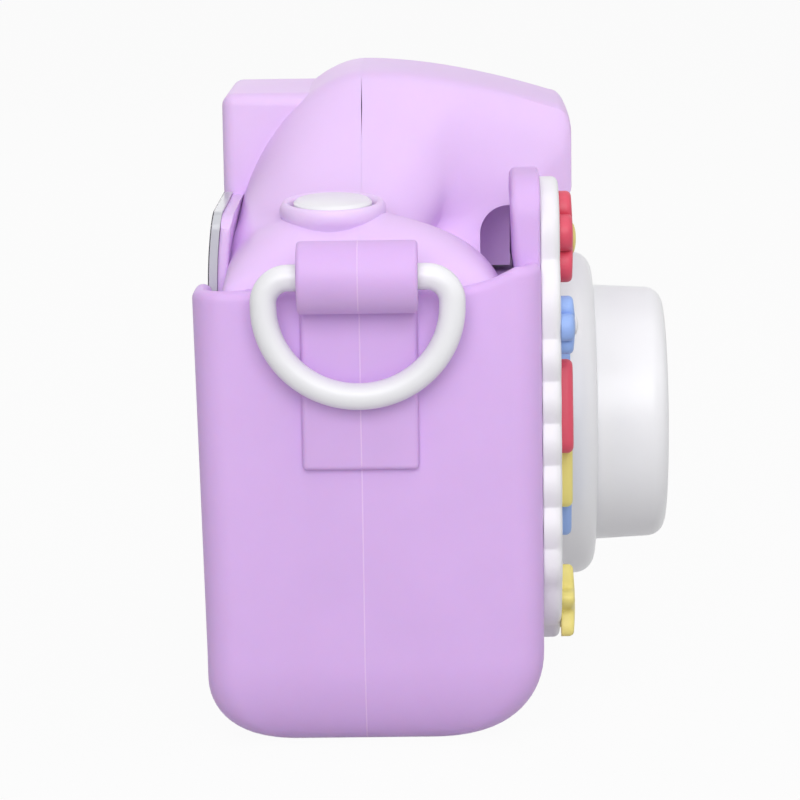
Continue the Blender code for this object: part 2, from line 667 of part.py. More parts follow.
def make_screws():
    """Four screws from the front, hidden by the sleeve."""
    seat = SCREW_SEAT + FIT
    outline = [(0, SCREW_TIP), (SCREW_RADIUS, SCREW_TIP + 1.0), (SCREW_RADIUS, seat),
               (SCREW_HEAD_RADIUS, seat), (SCREW_HEAD_RADIUS, seat + SCREW_HEAD * 0.6),
               (0, seat + SCREW_HEAD)]
    for i, (x, z) in enumerate(BOSS_PLACES):
        turned(f"shell_screw_{i + 1}", outline, (x, 0, z), finish="steel", steps=8)


# Silicone sleeve

def sleeve_ring(z, side, rear, front, radius, count=3):
    """Rounded rectangle at height z: its inset from each face and its corner radius."""
    half = SLEEVE_HALF_WIDTH - side
    back = SLEEVE_REAR + rear
    nose = SLEEVE_FRONT - front
    points = []
    for x, u, start in ((half, nose, 90), (-half, nose, 180), (-half, back, 270), (half, back, 360)):
        centre_x = x - math.copysign(radius, x)
        centre_u = u - math.copysign(radius, u)
        points += arc(centre_x, centre_u, radius, start - 90, start, count)
    return [(x, u, z) for x, u in points]


def sleeve_rings():
    """Rings from the floor up the outside, over the rim, down the inside and across the inner floor."""
    rings = []
    heights = [SLEEVE_SIDE_CORNER * (1 - math.cos(math.pi / 2 * i / 6)) for i in range(7)]
    heights.append(SLEEVE_FRONT_CORNER)
    for z in heights:
        rings.append(sleeve_ring(z, turn_in(z, SLEEVE_SIDE_CORNER), turn_in(z, SLEEVE_REAR_CORNER),
                                 turn_in(z, SLEEVE_FRONT_CORNER), SLEEVE_EDGE))
    for angle in (0, 45, 90, 135, 180):
        turn = math.radians(angle)
        draw = RIM_ROUND * (1 - math.cos(turn)) / 2 * (SLEEVE_WALL / RIM_ROUND)
        z = RIM_Z - RIM_ROUND + RIM_ROUND * math.sin(turn)
        rings.append(sleeve_ring(z, draw, draw, draw, SLEEVE_EDGE - draw))
    for z in heights[::-1]:
        share = z / SLEEVE_FRONT_CORNER
        floor = SLEEVE_FLOOR + share * (SLEEVE_FRONT_CORNER - SLEEVE_FLOOR)
        over = floor - SLEEVE_FLOOR
        rings.append(sleeve_ring(floor, *[SLEEVE_WALL + turn_in(over, corner - SLEEVE_WALL) for corner in
                                          (SLEEVE_SIDE_CORNER, SLEEVE_REAR_CORNER, SLEEVE_FRONT_CORNER)],
                                 SLEEVE_EDGE - SLEEVE_WALL))
    return rings


def ear_outline(low, step):
    """An ear with round upper corners, from a height up, drawn in a step."""
    half = EAR_HALF_WIDTH - step
    corner_z = EAR_TOP_Z - step - EAR_CORNER
    points = [(-half, low)]
    points += arc(-half + EAR_CORNER, corner_z, EAR_CORNER, 180, 90, 5)
    points += arc(half - EAR_CORNER, corner_z, EAR_CORNER, 90, 0, 5)
    return points + [(half, low)]


def make_sleeve():
    bm = bmesh.new()
    rings = [[bm.verts.new(at(*p)) for p in ring] for ring in sleeve_rings()]
    for low, high in zip(rings, rings[1:]):
        for i in range(len(low)):
            j = (i + 1) % len(low)
            bm.faces.new((low[i], low[j], high[j], high[i]))
    bm.faces.new(rings[0])
    bm.faces.new(rings[-1])
    sleeve = mesh_from(bm, "silicone_sleeve", "lilac_silicone", 40.0)

    for side, name in ((-1, "right"), (1, "left")):
        foot = (ear_outline(RIM_Z - 1.0, 2 * EAR_STEP), SLEEVE_WALL, 2 * EAR_STEP)
        lobe = (ear_outline(RIM_Z + EAR_FOOT, EAR_STEP), EAR_THICK, EAR_STEP)
        for part, (outline, thick, step) in (("foot", foot), ("lobe", lobe)):
            middle = (side * EAR_X, SLEEVE_FRONT - (thick + step) / 2, 0)
            join(sleeve, plate(f"ear_{part}_{name}", outline, thick - step, middle, "ahead", 0.6))
        lug_ends = [(side * LUG_X, LUG_AHEAD + LUG_LENGTH * s, LUG_Z) for s in (-0.5, 0.5)]
        pad_half = LUG_LENGTH / 2 - 0.2
        join(sleeve,
             box(f"pad_{name}", (side * (SLEEVE_HALF_WIDTH - 1.0), LUG_AHEAD - pad_half, PAD_BOTTOM_Z),
                 (side * (SLEEVE_HALF_WIDTH + PAD_THICK), LUG_AHEAD + pad_half, LUG_Z - 1.0), None, 0.5),
             rod(f"lug_{name}", LUG_RADIUS, lug_ends[0], lug_ends[1], None, 28))
        cut(sleeve, rod(f"bar_hole_{name}", RING_RADIUS + RUN, (side * LUG_X, LUG_AHEAD - LUG_LENGTH, LUG_Z),
                        (side * LUG_X, LUG_AHEAD + LUG_LENGTH, LUG_Z), None, 16))

    cut(sleeve,
        box("rear_window", (-REAR_WINDOW_HALF, SLEEVE_REAR - CUT, REAR_WINDOW_SILL),
            (REAR_WINDOW_HALF, SLEEVE_REAR + SLEEVE_WALL + 0.2, RIM_Z + CUT)),
        rod("lens_window", LENS_BASE_RADIUS + FIT, (0, BODY_FRONT, LENS_Z),
            (0, SLEEVE_FRONT + CUT, LENS_Z), None, 36),
        box("port_window", (BODY_HALF_WIDTH, PORT_WINDOW_AHEAD - PORT_WINDOW_DEPTH / 2, PORT_WINDOW_LOW),
            (SLEEVE_HALF_WIDTH + CUT, PORT_WINDOW_AHEAD + PORT_WINDOW_DEPTH / 2, PORT_WINDOW_HIGH)))


# Strap rings

def make_ring(name, side):
    """A D-shaped wire ring whose straight bar runs through the lug, with its origin on the bar."""
    half = RING_WIDTH / 2 - RING_RADIUS
    knee = -RING_CORNER - 0.5
    points = arc(half - RING_CORNER, -RING_CORNER, RING_CORNER, 90, 0, 5)
    for i in range(1, 14):
        angle = math.pi * i / 14
        points.append((half * math.cos(angle), knee - (RING_DROP + knee) * math.sin(angle)))
    points += arc(-half + RING_CORNER, -RING_CORNER, RING_CORNER, 180, 90, 5)
    curve = bpy.data.curves.new(name, "CURVE")
    curve.dimensions = "3D"
    curve.bevel_depth = RING_RADIUS * MM
    curve.bevel_resolution = 2
    spline = curve.splines.new("POLY")
    spline.points.add(len(points) - 1)
    spline.use_cyclic_u = True
    for target, (u, v) in zip(spline.points, points):
        target.co = (*at(0, u, v), 1.0)
    ring = as_mesh(link(name, curve), "white_plastic")
    ring.location = at(side * LUG_X, LUG_AHEAD, LUG_Z)


# Lens, keys and electronics

def make_lens():
    place = (0, 0, LENS_Z)
    seat = BODY_FRONT + FIT
    edge = LENS_BASE_EDGE
    turned("lens_base",
           [(LENS_BORE_RADIUS, NECK_END), (LENS_NECK_RADIUS, NECK_END), (LENS_NECK_RADIUS, seat),
            (LENS_BASE_RADIUS, seat)]
           + arc(LENS_BASE_RADIUS - edge, LENS_BASE_AHEAD - edge, edge, 0, 90, 5)
           + [(LENS_BORE_RADIUS, LENS_BASE_AHEAD)], place, finish="white_plastic", steps=30)
    foot = LENS_BASE_AHEAD + FIT
    floor = foot + BARREL_FLOOR
    edge = BARREL_EDGE
    turned("lens_barrel",
           [(MODULE_RADIUS + FIT, foot), (BARREL_RADIUS, foot)]
           + arc(BARREL_FRONT_RADIUS - edge, BARREL_AHEAD - edge, edge, 0, 90, 5)
           + [(BARREL_BORE_RADIUS + 0.5, BARREL_AHEAD), (BARREL_BORE_RADIUS, BARREL_AHEAD - 0.5),
              (BARREL_BORE_RADIUS, floor), (MODULE_RADIUS + FIT, floor)],
           place, finish="white_plastic", steps=30)
    cone = floor + FIT
    bore = GLASS_RADIUS + FIT
    turned("lens_cone",
           [(bore, cone), (BARREL_BORE_RADIUS - FIT, cone), (BARREL_BORE_RADIUS - FIT, BARREL_AHEAD - 1.6),
            (BARREL_BORE_RADIUS - 1.0, BARREL_AHEAD - 1.6), (bore, cone + GLASS_THICK + 0.8)],
           place, finish="black_plastic", steps=28)
    turned("lens_glass",
           [(0, cone), (GLASS_RADIUS, cone), (GLASS_RADIUS, cone + GLASS_THICK - 1.0)]
           + [(GLASS_RADIUS * (1 - i / 4), cone + GLASS_THICK - 1.0 + math.sin(math.pi / 8 * i))
              for i in (1, 2, 3, 4)],
           place, finish="clear_glass", steps=24)
    turned("lens_module",
           [(0, NECK_END), (MODULE_RADIUS, NECK_END), (MODULE_RADIUS, floor - 0.4), (0, floor - 0.4)],
           place, finish="black_plastic", steps=24)
    half = LENS_NECK_RADIUS - 3.0
    box("sensor_board", (-half, NECK_END - FIT - BOARD_THICK, LENS_Z - half),
        (half, NECK_END - FIT, LENS_Z + half), "green_board")
    turned("flash_window",
           [(0, -SHELL_WALL), (FLASH_RADIUS, -SHELL_WALL), (FLASH_RADIUS, -0.5),
            (FLASH_RADIUS - 0.6, -0.2), (0, 0)],
           (0, HUMP_FRONT_AHEAD, FLASH_Z), finish="clear_glass", steps=20)
    back = HUMP_FRONT_AHEAD - SHELL_WALL - FIT
    box("flash_lamp", (-FLASH_RADIUS - 1.5, back - 2.0, FLASH_Z - FLASH_RADIUS + 0.2),
        (FLASH_RADIUS + 1.5, back, FLASH_Z + FLASH_RADIUS - 0.4), "silver_foil")
    turned("rear_eye_ring",
           [(REAR_EYE_BORE, -0.4), (REAR_EYE_RADIUS, -0.4), (REAR_EYE_RADIUS, SHELL_WALL - 0.3),
            (REAR_EYE_RADIUS - 0.3, SHELL_WALL), (REAR_EYE_BORE, SHELL_WALL - 0.8)],
           (0, BLOCK_REAR_AHEAD + SHELL_WALL, REAR_EYE_Z), (0, 1, 0), "black_plastic", 20)
    turned("rear_eye_glass",
           [(0, 0), (REAR_EYE_BORE - FIT, 0), (REAR_EYE_BORE - FIT, 0.8), (0, 1.2)],
           (0, BLOCK_REAR_AHEAD + SHELL_WALL, REAR_EYE_Z), (0, 1, 0), "clear_glass", 24)
    eye_back = BLOCK_REAR_AHEAD + SHELL_WALL + 0.4 + FIT
    box("rear_eye_module", (-REAR_EYE_RADIUS, eye_back, REAR_EYE_Z - REAR_EYE_RADIUS + 0.6),
        (REAR_EYE_RADIUS, eye_back + 4.0, REAR_EYE_Z + REAR_EYE_RADIUS - 0.6), "black_plastic")


def make_back():
    panel = back_plate("rear_panel", 0.0, PANEL_THICK, PANEL_BOTTOM_Z, PANEL_TOP_Z, PANEL_HALF_WIDTH,
                       "smoke_panel", 0.4)
    wide = BLOCK_HALF_WIDTH + FIT
    cut(panel, box("panel_notch", (-wide, SLEEVE_REAR - CUT, BLOCK_BOTTOM_Z - FIT),
                   (wide, BODY_REAR + CUT, PANEL_TOP_Z + CUT)))
    flange = BOARD_REAR - FIT - KEY_SWITCH - 0.15 - KEY_TRAVEL
    shoulder = flange - INNER_REAR - FIT
    top = flange - SLEEVE_REAR + KEY_PROUD
    key_outline = [(0, 0), (KEY_RADIUS + 0.7, 0), (KEY_RADIUS + 0.7, shoulder), (KEY_RADIUS, shoulder),
                   (KEY_RADIUS, top - 0.6), (KEY_RADIUS - 0.5, top), (0, top + 0.2)]
    for name, z in KEY_HEIGHTS.items():
        cut(panel, rod(f"{name}_port", KEY_RADIUS + RUN, (KEY_X, SLEEVE_REAR - CUT, z),
                       (KEY_X, BODY_REAR, z), None, 14))
        turned(name, key_outline, (KEY_X, flange, z), (0, 1, 0), "white_plastic", 14)
    glass = INNER_REAR + FIT
    box("screen_module", (SCREEN_X - SCREEN_WIDTH / 2, glass, SCREEN_Z - SCREEN_HEIGHT / 2),
        (SCREEN_X + SCREEN_WIDTH / 2, glass + SCREEN_THICK, SCREEN_Z + SCREEN_HEIGHT / 2), "screen")
    box("main_board", (-BOARD_HALF_WIDTH, BOARD_REAR, BOARD_BOTTOM_Z),
        (BOARD_HALF_WIDTH, BOARD_FRONT, BOARD_TOP_Z), "green_board")
    for name, z in KEY_HEIGHTS.items():
        box(f"{name}_switch", (KEY_X - 2.2, BOARD_REAR - FIT - KEY_SWITCH, z - 2.2),
            (KEY_X + 2.2, BOARD_REAR - FIT, z + 2.2), "black_plastic")
    low = BOARD_FRONT + FIT
    width, depth, height = BATTERY_SIZE
    foot = BOARD_BOTTOM_Z + 1.0
    box("battery", (BATTERY_X - width / 2, low, foot), (BATTERY_X + width / 2, low + depth, foot + height),
        "silver_foil", 0.8)
    for name, (near, far) in PORTS.items():
        box(name, near, far, "steel")
    turned("speaker",
           [(0, 0), (SPEAKER_RADIUS - 1.5, 0), (SPEAKER_RADIUS, 1.2), (SPEAKER_RADIUS, SPEAKER_THICK),
            (0, SPEAKER_THICK)],
           (SPEAKER_X, INNER_FRONT - FIT - SPEAKER_THICK, SPEAKER_Z), finish="black_plastic", steps=20)


def make_shutter():
    foot = -SEAT_DEPTH - FIT - 1.0
    bore = SHUTTER_RADIUS + RUN
    turned("shutter_collar",
           [(bore, -COLLAR_DEPTH), (COLLAR_RADIUS, -COLLAR_DEPTH), (COLLAR_RADIUS, -1.1),
            (COLLAR_RADIUS - 0.25, -0.45), (COLLAR_RADIUS - 0.8, 0.0), (bore + 0.3, 0.0), (bore, -0.4)],
           shutter_place(0), SHUTTER_AXIS, "lilac_plastic", 24)
    turned("shutter_button",
           [(0, foot), (bore + 0.9, foot), (bore + 0.9, foot + 1.0), (SHUTTER_RADIUS, foot + 1.0),
            (SHUTTER_RADIUS, -0.3), (SHUTTER_RADIUS - 0.3, 0.2), (SHUTTER_RADIUS - 1.2, 0.5),
            (SHUTTER_RADIUS / 2, 0.75), (0, 0.85)],
           shutter_place(0), SHUTTER_AXIS, "white_plastic", 24)
    x, ahead, foot_z = shutter_place(foot)
    board_low = BOSS_PLACES[1][1] + BOSS_RADIUS + FIT
    board_top = board_low + BOARD_THICK
    box("shutter_board", (x - 6.5, ahead - 4.5, board_low), (x + 7.5, ahead + 4.5, board_top), "green_board")
    switch_top = foot_z - SHUTTER_TRAVEL - 0.75
    box("shutter_switch", (x - 2.2, ahead - 2.2, board_top + FIT), (x + 2.2, ahead + 2.2, switch_top),
        "black_plastic")


# Front relief: a cloud plate with raised flowers, stars and bands

def scalloped(corners, rise, count=3):
    """Closed outline whose edges between the corners bulge outwards."""
    points = []
    for i, (x, z) in enumerate(corners):
        next_x, next_z = corners[(i + 1) % len(corners)]
        for step in range(count):
            t = step / count
            swell = math.sin(math.pi * t) * rise
            run_x, run_z = next_x - x, next_z - z
            points.append((x + run_x * t + run_z * swell, z + run_z * t - run_x * swell))
    return points


def mirrored(points):
    return [(-x, z) for x, z in points[::-1]]


def flower(x, z, radius, petals=5):
    points = []
    for i in range(petals * 6):
        angle = math.pi * i / (petals * 3)
        reach = radius * (0.8 + 0.2 * math.cos(petals * angle))
        points.append((x + reach * math.sin(angle), z + reach * math.cos(angle)))
    return points


def star(x, z, radius):
    return [(x + radius * (1.0, 0.5)[i % 2] * math.sin(math.pi * i / 5),
             z + radius * (1.0, 0.5)[i % 2] * math.cos(math.pi * i / 5)) for i in range(10)]


def band(inner, outer, start, end):
    return arc(0, LENS_Z, outer, start, end, 5) + arc(0, LENS_Z, inner, end, start, 5)


def motif(name, outline, finish):
    """A raised motif on the cloud plate and its mirror image on the other side."""
    ahead = SLEEVE_FRONT + 2 * FIT + RELIEF_THICK + MOTIF_THICK / 2
    plate(f"{name}_left", outline, MOTIF_THICK, (0, ahead, 0), "ahead", 0.35, finish)
    plate(f"{name}_right", mirrored(outline), MOTIF_THICK, (0, ahead, 0), "ahead", 0.35, finish)


def make_relief():
    side = [(RELIEF_MIDDLE, RELIEF_BOTTOM_Z), (RELIEF_MIDDLE + RELIEF_SCALLOP, RELIEF_BOTTOM_Z + 0.4),
            (RELIEF_MIDDLE + 2 * RELIEF_SCALLOP, RELIEF_BOTTOM_Z + 2.5)]
    z = RELIEF_BOTTOM_Z + RELIEF_SIDE_LOW
    while z < RIM_Z - RELIEF_SIDE_RISE:
        side.append((RELIEF_EDGE - (1.6 if len(side) == 3 else 0.0), z))
        z += RELIEF_SIDE_RISE
    side += [(EAR_X + EAR_HALF_WIDTH - 1.2, RIM_Z + 2.8), (EAR_X + EAR_CORNER - 0.5, RELIEF_TOP_Z - 2.0),
             (EAR_X - EAR_CORNER, RELIEF_TOP_Z - 2.0), (EAR_X - EAR_HALF_WIDTH + 1.0, RIM_Z + 1.8),
             (RELIEF_MIDDLE + 3.0, RIM_Z + 0.4)]
    corners = side + mirrored(side)
    ring = arc(0, LENS_Z, LENS_BASE_RADIUS + FIT, 0, 360, 36)[:-1]
    middle = (0, SLEEVE_FRONT + FIT + RELIEF_THICK / 2, 0)
    plate("relief_cloud", scalloped(corners, 0.16), RELIEF_THICK, middle, "ahead", 0.5, "white_relief",
          (ring,))
    motif("flower", flower(EAR_X, RELIEF_TOP_Z - FLOWER_DROP, FLOWER_RADIUS), "red_relief")
    motif("star", star(EAR_X, RELIEF_BOTTOM_Z + STAR_RADIUS + 0.7, STAR_RADIUS), "yellow_relief")
    blossom_x = RELIEF_EDGE - BLOSSOM_RADIUS - 0.2
    motif("blossom", flower(blossom_x, LENS_Z + BLOSSOM_RISE, BLOSSOM_RADIUS, 4), "blue_relief")
    for i, (name, (start, end)) in enumerate(BAND_ANGLES.items()):
        inner = BAND_INNER + (BAND_WIDTH + BAND_GAP) * i
        motif(name, band(inner, inner + BAND_WIDTH, start, end), name.replace("_band", "_relief"))


make_shells()
make_screws()
make_sleeve()
make_ring("d_ring_right", -1)
make_ring("d_ring_left", 1)
make_lens()
make_back()
make_shutter()
make_relief()
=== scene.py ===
"""Looks of the kids digital camera.

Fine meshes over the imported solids, procedural materials, a studio and a camera. Sizes are in millimetres
and are scaled to metres when a mesh is made. "Ahead" is towards the lens, along -Y.
"""

from math import copysign, cos, pi, radians, sin, sqrt

import bmesh
import bpy
from mathutils import Matrix, Vector


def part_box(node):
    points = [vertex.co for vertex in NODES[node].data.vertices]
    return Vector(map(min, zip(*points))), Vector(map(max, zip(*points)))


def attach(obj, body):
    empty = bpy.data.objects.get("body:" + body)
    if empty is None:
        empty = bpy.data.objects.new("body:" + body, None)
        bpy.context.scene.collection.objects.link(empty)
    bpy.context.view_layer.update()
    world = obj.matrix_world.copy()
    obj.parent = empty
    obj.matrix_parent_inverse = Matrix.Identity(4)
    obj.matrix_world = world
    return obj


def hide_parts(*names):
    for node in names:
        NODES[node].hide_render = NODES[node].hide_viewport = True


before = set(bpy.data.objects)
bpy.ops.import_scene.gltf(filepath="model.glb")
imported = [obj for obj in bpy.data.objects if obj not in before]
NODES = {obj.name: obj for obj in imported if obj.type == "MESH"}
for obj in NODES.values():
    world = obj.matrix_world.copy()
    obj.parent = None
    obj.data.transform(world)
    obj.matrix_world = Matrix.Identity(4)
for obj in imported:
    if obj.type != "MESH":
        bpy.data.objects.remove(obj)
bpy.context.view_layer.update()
BODY = "camera"
MM = 0.001
SIDES = ((-1, "right"), (1, "left"))

# Gap between seated pieces, gap round a sliding piece, and a cutter's long and short reach past its cut
FIT = 0.3
RUN = 0.3
CUT = 4.0
THROUGH = 0.1

# Silicone sleeve
HALF_WIDTH = 46.0
DEPTH = 43.8
WALL = 2.4
FLOOR = 2.6
SLEEVE_EDGE = 4.2
SIDE_CORNER = 10.0
SIDE_SHARE = 0.6
REAR_CORNER = 9.0
FRONT_CORNER = 12.0
RIM_Z = 60.2
RIM_ROUND = 1.3
RIM_RISE = 2.6
RISE_START = 8.0
RISE_RUN = 10.4
RISE_POWER = 2.4
RISE_INNER = 13.0
REAR_FLARE = 0.85
REAR_WINDOW_HALF = 38.0
WINDOW_REACH = 0.2
PORT_SHIFT = 1.6
PORT_HALF = 4.5
PORT_MARGIN = 0.8
EAR_X = 31.5
EAR_HALF_WIDTH = 9.0
EAR_TOP_Z = 73.7
EAR_THICK = 3.6
EAR_CORNER = 5.5
EAR_FOOT = 1.4
EAR_KNEE = 4.0
EAR_ROUND = 0.9
EAR_SUNK = 1.0
EAR_GAP = 0.02

# Strap lugs, mould line and rings
LUG_AHEAD = -1.4
LUG_Z = 62.4
LUG_RADIUS = 4.6
LUG_LENGTH = 15.2
LUG_EDGE = 0.5
LUG_FOOT = 0.8
LUG_X = HALF_WIDTH + 3.3
PAD_THICK = 1.2
PAD_SUNK = 1.0
PAD_SHY = 0.2
PAD_EDGE = 0.6
PAD_BOTTOM_Z = 37.3
SEAM_RADIUS = 0.16
SEAM_SUNK = 0.125
RING_RADIUS = 1.7
RING_WIDTH = 27.2
RING_DROP = 15.2
RING_CORNER = 3.2
RING_KNEE = 0.5

# Hard body, from its parting line and hump to its shoulders and rear block
SHELL_WALL = 2.0
SHELL_GAP = 0.008
PARTING = -1.3
SLIT_X = 21.0
SLIT_WIDTH = 18.0
SLIT_HALF = 0.07
SLIT_HEIGHTS = (76.6, 81.0, 84.6)
HUMP_TOP_Z = 85.6
HUMP_PEAK = -1.3
HUMP_FLAT = 13.5
HUMP_REAR_POWER = 1.8
HUMP_TOP_POWER = 1.75
FLANK_RUN = 16.5
FLANK_SOFT = 0.0064
WALL_START = 13.0
WALL_RUN = 5.2
WALL_FULL = 2.6
NECK_START = 0.48
NECK_RUN = 0.46
BROW_START = 76
BROW_DROP = 3.6
BROW_Z = 80.9
HUMP_FRONT = 26.9
UNDER_Z = 67.3
CHIN_DROP = 1.5
FOOT_DROP = 1.5
FOOT_SHY = 0.3
HUMP_CORNER = 2.4
THROAT_RADIUS = 3.8
THROAT_WIDTH = 46.0
THROAT_DROP = 4.0
WEB_HALF_WIDTH = 5.0
WEB_SUNK = 1.0
WEB_SHY = 0.6
WEB_DROP = 3.0
DOME_TOP_Z = 69.2
DOME_PEAK = -3.0
DOME_END_RUN = 8.0
DOME_END_LEAST = 0.03
DOME_SHY = 2.0
DOME_REAR_SHY = 0.3
DOME_FRONT_POWER = 2.0
DOME_END_POWER = 2.3
DOME_MIDDLE_POWER = 3.6
DOME_MIDDLE_EDGE = 36.0
DOME_MIDDLE_RUN = 8.0
VALLEY_SHARE = 0.5
VALLEY_EDGE = 37.0
VALLEY_RUN = 11.0
VALLEY_LENGTH = 10.0
WAIST_Z = 59.0
FRONT_DROP = 2.5
BLOCK_HALF_WIDTH = 13.0
BLOCK_TOP_Z = 82.5
BLOCK_BOTTOM_Z = 67.6
BLOCK_REAR = -20.3
BLOCK_SUNK = 5.0
BLOCK_EDGE = 1.7
SOCKET_ROOM = 6.0

# Shutter button and its collar
SHUTTER_X = -34.0
SHUTTER_AHEAD = -4.8
SHUTTER_TILT = radians(5.0)
SHUTTER_RADIUS = 5.1
SHUTTER_EDGE = 0.2
SHUTTER_CROWN = (0.1, 0.5)
SHUTTER_FLANGE = 0.9
FLANGE_THICK = 1.0
COLLAR_RADIUS = 6.9
COLLAR_TOP_Z = 70.3
COLLAR_DEPTH = 3.1
COLLAR_DRAFT = 0.5
COLLAR_LIP = 0.72
COLLAR_ROUND = 1.25
COLLAR_INSIDE = 1.4
LIP_START = -50
LIP_END = 180
CROWN_POWER = 0.8
SEAT_DEPTH = 6.5
WELL_DEPTH = 20.0
WELL_MARGIN = 2.0
WELL_GAP = 0.2

# Lens
LENS_Z = 36.0
LENS_BASE_RADIUS = 22.6
LENS_BASE_AHEAD = 30.0
LENS_BASE_EDGE = 2.8
LENS_NECK_RADIUS = 15.0
LENS_NECK_LENGTH = 2.0
LENS_BORE_RADIUS = 11.0
BARREL_RADIUS = 17.9
BARREL_FRONT_RADIUS = 17.5
BARREL_AHEAD = 39.9
BARREL_GAP = 0.04
BARREL_FLOOR = 2.0
BARREL_EDGE = 2.4
BARREL_BORE_RADIUS = 14.6
MOUTH_EDGE = 0.5
CONE_SHY = 1.6
CONE_LIP = 0.7
CONE_FOOT = 3.2
CONE_STEP = 0.75
CONE_STEP_DROP = 0.15
GLASS_RADIUS = 8.6
GLASS_EDGE = 1.4
GLASS_TOP = 2.4
MODULE_RADIUS = 6.5

# Back panel, screen, keys, flash and rear eye
PANEL_THICK = 1.5
PANEL_TOP_Z = 69.3
PANEL_LEAN = 0.8
PANEL_CORNER = 2.5
PANEL_FACE = 0.9
PANEL_INNER = 2.1
PANEL_GAP = 0.5
BACKING_SUNK = 0.02
BACKING_SHY = 0.4
BACKING_EDGE = 0.6
FILM_THICK = 0.15
FILM_SUNK = 0.01
SCREEN_X = 9.0
SCREEN_Z = 34.5
SCREEN_WIDTH = 51.0
SCREEN_HEIGHT = 36.0
SCREEN_MARGIN = 4.0
KEY_X = -28.0
KEY_RADIUS = 3.2
KEY_PROUD = 0.7
KEY_EDGE = 0.7
KEY_FLANGE = 0.7
KEY_DISH = 0.2
KEY_DISH_EDGE = 0.15
KEY_DISH_SHARE = 0.4
KEY_HEIGHTS = {"power_key": 54.0, "mode_key": 44.5, "up_key": 34.0, "ok_key": 25.5, "down_key": 17.0}
KEY_ROOM_HALF = 6.0
KEY_ROOM_HEIGHTS = (9.0, 57.0)
ROOM_DEPTH = 8.0
FLASH_Z = 74.4
FLASH_RADIUS = 4.2
FLASH_SUNK = 0.05
FLASH_EDGE = 0.2
FLASH_RIM = 0.25
FLASH_HUB = 0.6
FLASH_STEP = 0.3
FLASH_GROOVE = 0.18
REAR_EYE_Z = 75.6
REAR_EYE_RADIUS = 4.6
REAR_EYE_DEPTH = 6.4

# Front relief
RELIEF_THICK = 2.2
RELIEF_TOP_Z = 73.1
RELIEF_BOTTOM_Z = 10.5
RELIEF_EDGE = HALF_WIDTH - 4.4
RELIEF_ROUND = 0.9
RELIEF_SUNK = 1.0
RELIEF_GAP = 0.02
SCALLOP_RISE = 0.16
MOTIF_HIGH = 1.7
MOTIF_EDGE = 0.7
FLOWER_RADIUS = 6.2
BLOSSOM_RADIUS = 3.8
PETAL_ROOT = 0.62
PETAL_POWER = 0.7
STAR_RADIUS = 5.0
STAR_ROOT = 0.55
STAR_POWER = 1.2
FLOWER_HEART = 2.0
BLOSSOM_HEART = 1.3
HEART_HIGH = 0.5
HEART_LIFT = 0.12
BAND_INNER = LENS_BASE_RADIUS + 4.0
BAND_WIDTH = 3.0
BAND_GAP = 0.8
BAND_ROUND = 0.8
BAND_LIFT = 0.01

# Places worked out from these sizes
FRONT = DEPTH / 2
REAR = -DEPTH / 2
BODY_FRONT = FRONT - WALL - FIT
BODY_REAR = REAR + WALL + FIT
BODY_HALF_WIDTH = HALF_WIDTH - WALL - FIT
BODY_BOTTOM = FLOOR + FIT
INNER_REAR = BODY_REAR + SHELL_WALL
INNER_FRONT = BODY_FRONT - SHELL_WALL
THROAT = BODY_FRONT - 4.8
LEDGE_Z = UNDER_Z - 6.6
DOME_FOOT_Z = WAIST_Z - 1.6
WINDOW_SILL = REAR_CORNER + FIT
PANEL_BOTTOM_Z = WINDOW_SILL + PANEL_GAP
PANEL_HALF_WIDTH = REAR_WINDOW_HALF - PANEL_GAP
VIEW_HALF_WIDTH = SCREEN_WIDTH / 2 - SCREEN_MARGIN
VIEW_HALF_HEIGHT = SCREEN_HEIGHT / 2 - SCREEN_MARGIN
CLOUD_FACE = FRONT + FIT + RELIEF_THICK
FLOWER_PLACE = (EAR_X, RELIEF_TOP_Z - 8.4)
STAR_PLACE = (EAR_X, RELIEF_BOTTOM_Z + 5.7)
BLOSSOM_PLACE = (RELIEF_EDGE - 4.0, LENS_Z + 18.2)
SHUTTER_AXIS = Vector((-sin(SHUTTER_TILT), 0.0, cos(SHUTTER_TILT)))

# Camera, with its angles, its distance from the point it looks at, and its lens
CAMERA_PITCH = radians(10.0)
CAMERA_YAW = radians(0.8)
CAMERA_ROLL = radians(-0.85)
CAMERA_TARGET = (0.0, 3.05, 38.0)
CAMERA_DISTANCE = 479.0
CAMERA_LENS = 153.0
CAMERA_SENSOR = 36.0

# Materials: size and range of the mottling, and height of the grain
MOTTLE_SCALE = 70.0
MOTTLE_LOW = 0.3
MOTTLE_HIGH = 0.7
LIGHT_SHARE = 0.6
ROUGH_SPREAD = 0.06
ROUGH_LEAST = 0.02
GRAIN_HEIGHT = 0.06
EDGE_SAMPLES = 6


def set_sockets(node, **values):
    """Set a node's sockets by name, with _ for a space."""
    for name, value in values.items():
        node.inputs[name.replace("_", " ")].default_value = value
    return node


def node_of(tree, kind, **values):
    return set_sockets(tree.nodes.new(kind), **values)


